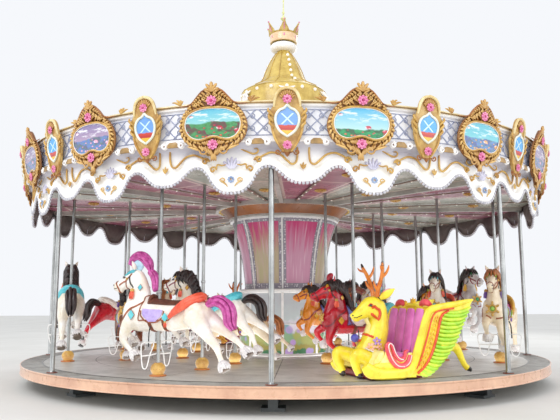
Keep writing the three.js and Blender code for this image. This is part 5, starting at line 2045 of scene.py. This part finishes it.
def make_horses(settings):
    """Twenty-two horses from one figure, each at its seat in its own coat, mane and tack, on its pole"""
    figure, skin = horse_figure()
    tack = horse_tack(skin)
    manes = {
        "falling": painted(flowing_mane(), role("mane")), "plumed": plume_mane(),
        "feathered": feathered_mane(),
    }
    pole = horse_pole()
    for seat in SEATS:
        colours, style, kind = horse_colours(seat)
        x, y, _ = seat["place"]
        ground = at(x, y, DECK_Z + seat["lift"])
        turn = spun(math.pi + seat["azimuth"])
        stance = ground @ turn @ at(0, 0, seat["raised"]) @ Matrix.Scale(seat["size"], 4)
        name = seat["name"]
        slot = "horse_" + {"grey": "brown"}.get(kind, kind)
        dressed(figure, stance, colours, name + "_figure", name, slot, name)
        dressed(manes[style], stance, colours, name + "_mane_and_tail", name, slot)
        dressed(tack, stance, colours, name + "_tack", name, slot)
        dressed(pole, ground @ turn, colours, name + "_pole", name, "steel")
    removed(figure, tack, pole, *manes.values())


# Deer chariots


WING_ROLL = [
    (-1.095, 0.990, 0.014), (-0.98, 0.965, 0.032), (-0.80, 0.930, 0.042), (-0.58, 0.897, 0.046),
    (-0.43, 0.860, 0.050), (-0.37, 0.770, 0.052), (-0.315, 0.620, 0.054), (-0.255, 0.450, 0.057),
    (-0.19, 0.270, 0.062), (-0.11, 0.130, 0.070), (0.02, 0.082, 0.076), (0.20, 0.078, 0.073),
    (0.36, 0.090, 0.080), (0.47, 0.130, 0.085), (0.53, 0.190, 0.060),
]
WING_OUTLINE = [
    (-0.30, 0.030), (-0.14, 0.060), (-0.20, 0.240), (-0.27, 0.450), (-0.35, 0.700), (-0.41, 0.850),
    (-0.60, 0.890), (-0.85, 0.925), (-1.085, 0.975), (-1.01, 0.850), (-0.935, 0.720), (-0.855, 0.565),
    (-0.765, 0.425), (-0.640, 0.265), (-0.480, 0.115),
]
WING_RIM = [
    (-1.050, 0.930), (-0.995, 0.830), (-0.935, 0.725), (-0.880, 0.620), (-0.825, 0.515), (-0.755, 0.410),
    (-0.680, 0.310), (-0.590, 0.215), (-0.490, 0.125), (-0.390, 0.060), (-0.300, 0.030),
]
WING_LINE = [
    (-0.700, 0.845), (-0.600, 0.800), (-0.555, 0.700), (-0.525, 0.600), (-0.495, 0.500), (-0.460, 0.405),
    (-0.420, 0.315), (-0.370, 0.230), (-0.310, 0.155), (-0.250, 0.105), (-0.205, 0.075),
]
CHARIOT_SIDE = 0.470


def wing_side():
    """One side of the chariot, face towards -Y: rolled edge, painted lines, carved leaves and feather ribs"""
    parts = [painted(plate(WING_OUTLINE, 0.0, 0.034, 0.010), role("shell"))]
    hull = [(-0.20, 0.020), (0.44, 0.020), (0.53, 0.120), (0.40, 0.200), (0.33, 0.215), (-0.16, 0.215)]
    parts.append(painted(plate(hull, 0.004, 0.038, 0.010), role("shell")))
    edge = moved(tube([(x, 0.0, z, r) for x, z, r in WING_ROLL], 12, 4), Matrix.Diagonal((1, 0.62, 1, 1)))
    parts.append(painted(moved(edge, at(0, 0.008)), role("shell")))
    inner = [
        (-0.78, 0.880), (-0.53, 0.845), (-0.445, 0.760), (-0.395, 0.620), (-0.335, 0.450), (-0.265, 0.270),
        (-0.185, 0.130),
    ]
    for line, radius in ((inner, 0.011), (WING_LINE, 0.017)):
        parts.append(painted(tube([(x, -0.010, z, radius) for x, z in line], 8, 3), role("line_red")))
    ribs = smooth_path([(*a, *b) for a, b in zip(WING_LINE, WING_RIM)], 2)
    for i, (x0, z0, x1, z1) in enumerate(ribs[1:-1]):
        long = math.hypot(x1 - x0, z1 - z0)
        drop = 0.030 * long / 0.4
        stations = [
            (x0 - 0.020, -0.004, z0, 0.020),
            (x0 + 0.35 * (x1 - x0), -0.018, z0 + 0.35 * (z1 - z0) - drop, 0.027),
            (x0 + 0.75 * (x1 - x0), -0.016, z0 + 0.75 * (z1 - z0) - drop, 0.025),
            (x1, -0.010, z1, 0.018), (x1 - 0.024, -0.006, z1 + 0.008, 0.004),
        ]
        parts.append(painted(tube(stations, 8, 3), role("feather_lime" if i % 2 else "feather_green")))
    between = smooth_path([
        (-0.535, 0.790), (-0.475, 0.650), (-0.420, 0.480), (-0.345, 0.300), (-0.255, 0.160),
    ], 3)
    for i, (x, z) in enumerate(between[:-1]):
        ahead = between[i + 1]
        turn = math.atan2(ahead[1] - z, ahead[0] - x)
        for side in (-1, 1):
            bud = leaf([(0, 0, 0.005), (0.034, 0.016 * side, 0.013), (0.060, 0.030 * side, 0.002)], 0.8)
            parts.append(painted(moved(bud, at(x, -0.008, z) @ spun(-turn, "Y")), role("carved")))
    swirl = [
        (-0.115, 0.300), (-0.085, 0.215), (-0.010, 0.165), (0.080, 0.175), (0.155, 0.250), (0.200, 0.350),
        (0.215, 0.425), (0.190, 0.455), (0.150, 0.425), (0.120, 0.340), (0.070, 0.270), (0.010, 0.250),
        (-0.040, 0.290), (-0.045, 0.345), (-0.085, 0.360),
    ]
    sizes = [
        0.030, 0.040, 0.044, 0.044, 0.040, 0.034, 0.026, 0.018, 0.020, 0.026, 0.030, 0.030, 0.026, 0.020,
        0.012,
    ]
    arm = [(x, 0.012, z, r) for (x, z), r in zip(swirl, sizes)]
    parts.append(painted(tube(arm, 10, 3), role("swirl")))
    back = plate([
        (-0.12, 0.10), (0.30, 0.10), (0.33, 0.20), (0.24, 0.30), (0.22, 0.42), (0.18, 0.44), (0.13, 0.30),
        (0.05, 0.235), (-0.05, 0.245), (-0.09, 0.33), (-0.15, 0.33),
    ], 0.014, 0.040, 0.008)
    parts.append(painted(back, role("shell_pale")))
    for k in range(5):
        rim = [(x, -0.026 - 0.002 * k, z, 0.006) for x, z in swirl[k * 2:k * 2 + 4]]
        parts.append(painted(tube(rim, 6, 3), role("swirl_line")))
    return joined(parts)


def flower(size, petals, kind):
    """Flat flower facing -Y"""
    parts = []
    for k in range(petals):
        petal = ball((0, -0.006, size * 0.6), (size * 0.34, 0.010, size * 0.46), 8, 6)
        parts.append(painted(moved(petal, spun(2 * math.pi * k / petals, "Y")), role(kind)))
    parts.append(painted(ball((0, -0.014, 0), (size * 0.28, 0.012, size * 0.28), 8, 6), role("flower_heart")))
    return joined(parts)


def deer_figure():
    """Deer's breast, neck and head melted into one, with legs, antlers, ears, eyes, cheek curl and flowers"""
    neck = [
        (0.300, 0, 0.16, 0.190), (0.235, 0, 0.32, 0.180), (0.150, 0, 0.47, 0.165), (0.095, 0, 0.62, 0.152),
        (0.078, 0, 0.76, 0.132), (0.090, 0, 0.89, 0.120), (0.110, 0, 0.96, 0.100),
    ]
    head = [
        (0.060, 0, 0.985, 0.080), (0.125, 0, 0.935, 0.128), (0.210, 0, 0.892, 0.138),
        (0.300, 0, 0.845, 0.108), (0.375, 0, 0.805, 0.080), (0.440, 0, 0.782, 0.058),
        (0.478, 0, 0.780, 0.030),
    ]
    parts = [limb(neck, 0.95), limb(head, 0.78), ball((0.40, 0, 0.735), (0.055, 0.038, 0.030))]
    parts.append(ball((0.465, 0, 0.795), (0.032, 0.042, 0.028)))
    for y in (-1, 1):
        parts.append(ball((0.185, 0.055 * y, 0.830), (0.085, 0.055, 0.085)))
        near = 0.0 if y > 0 else 0.075
        parts.append(limb([
            (0.20, 0.17 * y, 0.17, 0.120), (0.36, 0.19 * y, 0.25, 0.108),
            (0.490 + near, 0.19 * y, 0.315, 0.082), (0.535 + near, 0.19 * y, 0.265, 0.066),
            (0.525 + near * 0.8, 0.19 * y, 0.175, 0.056), (0.490 + near * 0.7, 0.19 * y, 0.095, 0.052),
            (0.470 + near * 0.7, 0.19 * y, 0.062, 0.056),
        ]))
    body = painted(fleshed(parts, 0.014, 0.30), role("shell"))
    skin = skin_of(body)
    extras = []
    for y in (-1, 1):
        near = 0.0 if y > 0 else 0.075
        for split in (-0.024, 0.024):
            toe = limb([
                (0.485 + near * 0.7, 0, 0.075, 0.030), (0.470 + near * 0.7, 0, 0.035, 0.034),
                (0.455 + near * 0.7, 0, 0.012, 0.012),
            ], 1.0, 8)
            extras.append(painted(moved(toe, at(0, 0.19 * y + split, 0.0)), role("soot")))
        hind = [
            (-0.56, 0.400, 0.400, 0.105), (-0.68, 0.405, 0.400, 0.088), (-0.80, 0.410, 0.385, 0.066),
            (-0.865, 0.410, 0.320, 0.050), (-0.915, 0.410, 0.220, 0.040), (-0.960, 0.410, 0.140, 0.038),
            (-0.992, 0.410, 0.110, 0.042),
        ]
        extras.append(painted(limb(flanked(hind, y)), role("shell")))
        toe = limb([
            (-0.990, 0.410 * y, 0.112, 0.034), (-1.030, 0.410 * y, 0.088, 0.032),
            (-1.052, 0.410 * y, 0.060, 0.010),
        ], 1.0, 8)
        extras.append(painted(toe, role("soot")))
        stem = flanked([
            (0.115, 0.050, 1.040, 0.034), (0.118, 0.085, 1.130, 0.030), (0.115, 0.150, 1.235, 0.027),
            (0.125, 0.220, 1.340, 0.025), (0.150, 0.275, 1.430, 0.021), (0.160, 0.290, 1.478, 0.012),
        ], y)
        brow = flanked([
            (0.120, 0.075, 1.120, 0.022), (0.175, 0.100, 1.185, 0.018), (0.200, 0.110, 1.245, 0.006),
        ], y)
        rear = flanked([
            (0.118, 0.185, 1.285, 0.022), (0.060, 0.200, 1.335, 0.019), (0.025, 0.205, 1.400, 0.015),
            (0.015, 0.208, 1.445, 0.006),
        ], y)
        outer = flanked([
            (0.135, 0.245, 1.375, 0.018), (0.185, 0.300, 1.395, 0.014), (0.205, 0.320, 1.430, 0.005),
        ], y)
        for branch in (stem, brow, rear, outer):
            extras.append(painted(tube(branch, 8, 3), role("antler")))
        tip = tube(flanked([
            (0.150, 0.275, 1.432, 0.0225), (0.160, 0.290, 1.478, 0.013), (0.161, 0.292, 1.487, 0.004),
        ], y), 8, 2)
        extras.append(painted(tip, role("soot")))
        ear = limb([
            (0, 0, 0, 0.022), (0.004, 0, 0.07, 0.052), (0.008, 0, 0.145, 0.050), (0.010, 0, 0.235, 0.006),
        ], 0.4, 10)
        pink = limb([
            (0.020, 0, 0.03, 0.008), (0.028, 0, 0.08, 0.034), (0.030, 0, 0.145, 0.033),
            (0.022, 0, 0.21, 0.005),
        ], 0.4, 8)
        pair = joined([painted(ear, role("shell")), painted(pink, role("inner_ear"))])
        aim = Vector((-0.78, 0.75 * y, 0.62)).to_track_quat("Z", "X").to_matrix().to_4x4()
        extras.append(moved(pair, at(0.090, 0.085 * y, 1.010) @ aim @ spun(math.pi if y < 0 else 0.0)))
        eye = pinned(ball((0, 0, 0), (0.024, 0.012, 0.017), 10, 8), skin, (0.255, 0.16 * y, 0.930), 0.004)
        extras.append(painted(eye, role("eye")))
        lid = cord(skin, flanked([
            (0.290, 0.16, 0.915), (0.275, 0.16, 0.945), (0.245, 0.16, 0.955), (0.215, 0.16, 0.935),
        ], y), 0.008, 0.004, 3)
        extras.append(painted(lid, role("line_red")))
        curl = flanked([
            (0.245, 0.22, 0.885), (0.195, 0.22, 0.905), (0.150, 0.22, 0.870), (0.145, 0.22, 0.800),
            (0.195, 0.22, 0.755), (0.245, 0.2, 0.775), (0.250, 0.2, 0.815),
        ], y)
        extras.append(painted(cord(skin, curl, 0.019, 0.004), role("line_red")))
        nostril = pinned(ball((0, 0, 0), (0.012, 0.005, 0.009), 8, 6), skin, (0.478, 0.05 * y, 0.795), 0.001)
        extras.append(painted(nostril, role("soot")))
        mouth = cord(skin, flanked([
            (0.465, 0.05, 0.757), (0.42, 0.08, 0.755), (0.355, 0.12, 0.775),
        ], y), 0.005)
        extras.append(painted(mouth, role("soot")))
        blooms = [
            (0.20, 0.20, 0.47, 0.055, "flower_lilac"), (0.29, 0.20, 0.40, 0.060, "flower_peach"),
            (0.36, 0.20, 0.30, 0.060, "flower_white"), (0.24, 0.24, 0.33, 0.060, "flower_white"),
            (0.15, 0.24, 0.39, 0.055, "flower_peach"), (0.33, 0.24, 0.20, 0.055, "flower_mint"),
            (0.21, 0.26, 0.24, 0.060, "flower_rose"), (0.12, 0.26, 0.29, 0.050, "flower_lilac"),
        ]
        for k, (x, side, z, size, kind) in enumerate(blooms):
            extras.append(pinned(flower(size, 5 + k % 2, kind), skin, (x, side * y, z), 0.004, 0.5 * k))
    collar = [(0.235, 0.15, 0.520), (0.275, 0.0, 0.535), (0.235, -0.15, 0.520)]
    extras.append(painted(cord(skin, collar, 0.015, 0.004), role("line_red")))
    breast = draped(skin, [
        [(0.27, y, z) for y in (-0.085, -0.045, 0, 0.045, 0.085)] for z in (0.56, 0.60, 0.64, 0.68, 0.72)
    ], 0.008, 0.003)
    extras.append(painted(breast, role("shell_pale")))
    ball_gem = ball((0.43, 0.0, 0.50), (0.055, 0.055, 0.055), 14, 10)
    stalk = tube([(0.30, 0, 0.42, 0.016), (0.36, 0, 0.47, 0.014), (0.40, 0, 0.49, 0.012)], 8, 2)
    extras += [painted(ball_gem, role("orb")), painted(stalk, role("line_red"))]
    return joined([body, *extras])


def chariot_well():
    """Floor, breast wall, leaning back with its crest, and the dark well between the sides"""
    half = CHARIOT_SIDE - 0.040
    parts = []
    floor = plate([(-0.30, 0.010), (0.42, 0.010), (0.42, 0.088), (-0.27, 0.088)], -half, half, 0.006)
    parts.append(painted(floor, role("well")))
    back = [
        (-0.248, 0.088), (-0.300, 0.088), (-0.385, 0.400), (-0.478, 0.860), (-0.460, 0.905),
        (-0.425, 0.880), (-0.345, 0.500),
    ]
    parts.append(painted(plate(back, -half, half, 0.010), role("shell")))
    wall = [
        (0.24, 0.088), (0.33, 0.088), (0.40, 0.120), (0.38, 0.230), (0.31, 0.330), (0.235, 0.360),
        (0.225, 0.220),
    ]
    parts.append(painted(plate(wall, -half, half, 0.012), role("shell_pale")))
    steps = (-0.43, -0.32, -0.21, -0.1, 0, 0.1, 0.21, 0.32, 0.43)
    rail = [(-0.452, y, 0.895 + 0.028 * math.cos(y * 9.0), 0.027) for y in steps]
    parts.append(painted(tube(rail, 10, 2), role("shell")))
    for y, high in ((-0.20, 0.085), (0.0, 0.125), (0.20, 0.085)):
        for tilt in (-0.45, 0.0, 0.45):
            tip = leaf([(0, 0, 0.026), (0, high * 0.5, 0.036), (high * 0.25 * tilt, high, 0.003)], 0.5)
            turned_tip = moved(tip, at(-0.462, y, 0.905) @ spun(math.pi / 2) @ spun(tilt, "Y"))
            parts.append(painted(turned_tip, role("carved")))
    roll = [
        (-0.458, -0.42, 0.925, 0.030), (-0.452, -0.35, 0.955, 0.045), (-0.452, -0.27, 0.955, 0.045),
        (-0.458, -0.20, 0.925, 0.028),
    ]
    for flip in (1, -1):
        parts.append(painted(tube(flanked(roll, flip), 10, 3), role("swirl")))
    return joined(parts)


def chariot_cushion():
    """Seat squab and a tall pleated back pad"""
    half = CHARIOT_SIDE - 0.036
    squab = [(-0.232, 0.100), (0.050, 0.100), (0.060, 0.280), (0.020, 0.325), (-0.250, 0.305)]
    parts = [painted(plate(squab, -half, half, 0.028, 3), role("cushion"))]
    count = 4
    for k in range(count):
        y = -half + (k + 0.5) * 2 * half / count
        wide = half / count
        pad = limb([
            (-0.268, 0, 0.290, wide * 0.8), (-0.283, 0, 0.380, wide), (-0.320, 0, 0.560, wide * 1.02),
            (-0.358, 0, 0.760, wide), (-0.378, 0, 0.868, wide * 0.75),
        ])
        squeeze = Matrix.Diagonal((0.30, 1.0, 1.0, 1.0))
        slant = at(-0.305, 0, 0.56) @ squeeze @ at(0.305, 0, -0.56)
        lean = Matrix(((1, 0, -0.12, 0.067), (0, 1, 0, 0), (0, 0, 1, 0), (0, 0, 0, 1)))
        parts.append(painted(moved(pad, at(0, y) @ lean @ slant), role("cushion")))
    piping = [(0.052, y, 0.300, 0.009) for y in (-half, -half / 2, 0, half / 2, half)]
    parts.append(painted(tube(piping, 6, 2), role("piping")))
    return joined(parts)


VINYLS = [("magenta", "#E884CC", "#CE5FB0"), ("purple", "#7E55AC", "#5C3A87")]
CHARIOT_PAINTS = {  # of the chariot in view, and of the one opposite where that differs
    "shell": ("deer_yellow", "deer_wine"), "shell_pale": ("deer_pale", "deer_blush"),
    "feather_lime": ("feather_lime", "feather_gold"), "feather_green": ("feather_green", "feather_amber"),
    "line_red": ("vermilion", "bright_gold"), "carved": ("carved_yellow",), "swirl": ("swirl_coral",),
    "swirl_line": ("swirl_white",), "flower_heart": ("flower_heart",), "flower_lilac": ("flower_lilac",),
    "flower_peach": ("flower_peach",), "flower_white": ("flower_white",), "flower_mint": ("flower_mint",),
    "flower_rose": ("flower_rose",), "orb": ("orb_blue",), "soot": ("soot",), "antler": ("antler_orange",),
    "inner_ear": ("ear_pink",), "piping": ("piping",),
}


def chariot_colours(which):
    """Yellow and magenta for the chariot in view, wine and purple for the one opposite"""
    colours = {part: paint(names[which % len(names)]) for part, names in CHARIOT_PAINTS.items()}
    colours.update({"eye": eye_glass(), "well": leather("well_red"), "cushion": vinyl(*VINYLS[which])})
    return colours


CHARIOT_R = 3.760
CHARIOT_AZIMUTHS = (20.5, 200.5)


def make_chariots(settings):
    """Two deer chariots from one, each in its own colours, with a padded seat"""
    side = wing_side()
    shell = joined([
        copied(side, at(0, -CHARIOT_SIDE + 0.004)), copied(side, MIRROR_Y @ at(0, -CHARIOT_SIDE + 0.004)),
        chariot_well(),
    ])
    removed(side)
    deer = deer_figure()
    cushion = chariot_cushion()
    for i, degrees in enumerate(CHARIOT_AZIMUTHS):
        azimuth = math.radians(degrees)
        stance = at(*on_circle(CHARIOT_R, azimuth, DECK_Z)) @ spun(math.pi + azimuth)
        colours = chariot_colours(i)
        slot = ("deer_yellow", "deer_wine")[i]
        seat_slot = ("seat_magenta", "seat_purple")[i]
        name = f"chariot_{i + 1}"
        dressed(shell, stance, colours, name + "_shell", "rotor", slot, "deer_" + name)
        dressed(deer, stance, colours, name + "_deer", "rotor", slot, "deer_" + name)
        seat = f"chariot_seat_{i + 1}"
        pad = dressed(cushion, stance, colours, name + "_cushion", "rotor", seat_slot, seat)
    removed(shell, deer, cushion)


# Stage


LIGHTS = [  # name, place, aim, size, share of the key light's power
    ("key_light", (-9.0, -14.0, 14.0), (0, 0, 2.5), 9.0, 0.85),
    ("fill_light", (12.0, -13.0, 7.0), (0, 0, 2.0), 8.0, 0.30),
    ("low_front_light", (0.0, -17.0, 1.6), (0, 0, 1.6), 9.0, 0.24),
    ("low_left_light", (-15.0, -6.0, 1.8), (0, 0, 1.6), 7.0, 0.18),
    ("low_right_light", (15.0, -6.0, 1.8), (0, 0, 1.6), 7.0, 0.18),
    ("rear_light", (6.0, 15.0, 10.0), (0, 0, 2.5), 9.0, 0.4),
    ("bounce_light_front", (0.0, -2.5, 0.38), (0, -2.499, 3.0), 4.0, 0.036),
    ("bounce_light_right", (2.5, 0.0, 0.38), (2.5, 0.001, 3.0), 4.0, 0.036),
    ("bounce_light_rear", (0.0, 2.5, 0.38), (0, 2.501, 3.0), 4.0, 0.036),
    ("bounce_light_left", (-2.5, 0.0, 0.38), (-2.5, 0.001, 3.0), 4.0, 0.036),
]
CAMERA_PLACE = (0, -12.176, 1.305)
CAMERA_YAW = math.radians(0.38)
CAMERA_PITCH = math.radians(98.272)
CAMERA_ROLL = math.radians(-0.18)
LENS_MM = 41.14
SENSOR_MM = 36.0


def make_stage(settings):
    """Floor, pale sky, area lights and the photo's camera"""
    deselect()
    bpy.ops.mesh.primitive_plane_add(size=120, location=(0, 0, 0))
    painted(name_it(bpy.context.object, "floor"), floor_paint())

    scene = bpy.context.scene
    scene.world = bpy.data.worlds.new("pale_sky")
    scene.world.use_nodes = True
    background = scene.world.node_tree.nodes["Background"]
    background.inputs[0].default_value = rgb("#F6F8FC")
    background.inputs[1].default_value = settings.sky_light

    for name, place, aim, size, share in LIGHTS:
        light = bpy.data.lights.new(name, "AREA")
        light.size = size
        light.energy = settings.key_light * share
        lamp = bpy.data.objects.new(name, light)
        scene.collection.objects.link(lamp)
        lamp.location = place
        lamp.rotation_euler = (Vector(aim) - Vector(place)).to_track_quat("-Z", "Y").to_euler()
        lamp.visible_camera = False

    camera = bpy.data.cameras.new("photo_camera")
    camera.lens = LENS_MM
    camera.sensor_width = SENSOR_MM
    camera.clip_end = 200.0
    eye = bpy.data.objects.new("photo_camera", camera)
    scene.collection.objects.link(eye)
    eye.matrix_world = at(*CAMERA_PLACE) @ spun(CAMERA_YAW) @ spun(CAMERA_PITCH, "X") @ spun(CAMERA_ROLL)
    scene.camera = eye
    scene.view_settings.view_transform = "Standard"


class CarouselSizes(bpy.types.PropertyGroup):
    """Sizes, colours and light that a user would change"""

    tread_ribs: IntProperty(
        name="Tread ribs", description="Raised ribs across the tread ring", default=14, min=4)
    beads: IntProperty(name="Fringe beads", description="Beads on one bay of the valance", default=46, min=20)
    bulb_radius: FloatProperty(
        name="Bulb radius", description="Radius of the bulbs on the dome", default=0.034, unit="LENGTH")
    band_paint: FloatVectorProperty(
        name="Band paint", description="Paint of the edge band", default=(0.91, 0.74, 0.62),
        subtype="COLOR_GAMMA")
    key_light: FloatProperty(
        name="Key light", description="Power of the main light", default=1400.0, unit="POWER")
    sky_light: FloatProperty(name="Sky light", description="Strength of the pale sky", default=1.0, min=0.0)


class CarouselDeck(bpy.types.Operator):
    """Makes the platform, its edge, the guides and the canopy poles"""

    bl_idname = "carousel.deck"
    bl_label = "Platform"

    def execute(self, context):
        make_deck(context.scene.carousel_sizes)
        make_poles(context.scene.carousel_sizes)
        return {"FINISHED"}


class CarouselColumn(bpy.types.Operator):
    """Makes the centre column and the ceiling"""

    bl_idname = "carousel.column"
    bl_label = "Column and ceiling"

    def execute(self, context):
        make_column(context.scene.carousel_sizes)
        make_ceiling(context.scene.carousel_sizes)
        return {"FINISHED"}


class CarouselCornice(bpy.types.Operator):
    """Makes the cornice band, the picture frames and the valance"""

    bl_idname = "carousel.cornice"
    bl_label = "Cornice"

    def execute(self, context):
        make_cornice(context.scene.carousel_sizes)
        make_frames(context.scene.carousel_sizes)
        make_valance(context.scene.carousel_sizes)
        return {"FINISHED"}


class CarouselRoof(bpy.types.Operator):
    """Makes the roof, the dome and the crown"""

    bl_idname = "carousel.roof"
    bl_label = "Roof and crown"

    def execute(self, context):
        make_roof(context.scene.carousel_sizes)
        make_dome(context.scene.carousel_sizes)
        make_crown(context.scene.carousel_sizes)
        return {"FINISHED"}


class CarouselHorses(bpy.types.Operator):
    """Makes the horses with their tack and poles"""

    bl_idname = "carousel.horses"
    bl_label = "Horses"

    def execute(self, context):
        make_horses(context.scene.carousel_sizes)
        return {"FINISHED"}


class CarouselChariots(bpy.types.Operator):
    """Makes the two deer chariots"""

    bl_idname = "carousel.chariots"
    bl_label = "Chariots"

    def execute(self, context):
        make_chariots(context.scene.carousel_sizes)
        return {"FINISHED"}


class CarouselStage(bpy.types.Operator):
    """Makes the floor, the light and the camera"""

    bl_idname = "carousel.stage"
    bl_label = "Stage"

    def execute(self, context):
        make_stage(context.scene.carousel_sizes)
        return {"FINISHED"}


OPERATORS = (
    CarouselDeck, CarouselColumn, CarouselCornice, CarouselRoof, CarouselHorses, CarouselChariots,
    CarouselStage,
)


class CarouselPanel(bpy.types.Panel):
    """Lists the settings and the steps of the carousel"""

    bl_idname = "VIEW3D_PT_carousel"
    bl_label = "Carousel"
    bl_space_type = "VIEW_3D"
    bl_region_type = "UI"
    bl_category = "Carousel"

    def draw(self, context):
        for setting in CarouselSizes.__annotations__:
            self.layout.prop(context.scene.carousel_sizes, setting)
        for step in OPERATORS:
            self.layout.operator(step.bl_idname)


def register():
    """Registers the settings, the steps and the panel"""
    for cls in (CarouselSizes, *OPERATORS, CarouselPanel):
        bpy.utils.register_class(cls)
    bpy.types.Scene.carousel_sizes = PointerProperty(type=CarouselSizes)


def unregister():
    """Takes them away again"""
    del bpy.types.Scene.carousel_sizes
    for cls in (CarouselPanel, *reversed(OPERATORS), CarouselSizes):
        bpy.utils.unregister_class(cls)


def main():
    """Runs every step"""
    register()
    bpy.ops.carousel.deck()
    bpy.ops.carousel.column()
    bpy.ops.carousel.cornice()
    bpy.ops.carousel.roof()
    bpy.ops.carousel.horses()
    bpy.ops.carousel.chariots()
    bpy.ops.carousel.stage()


if __name__ == "__main__":
    main()
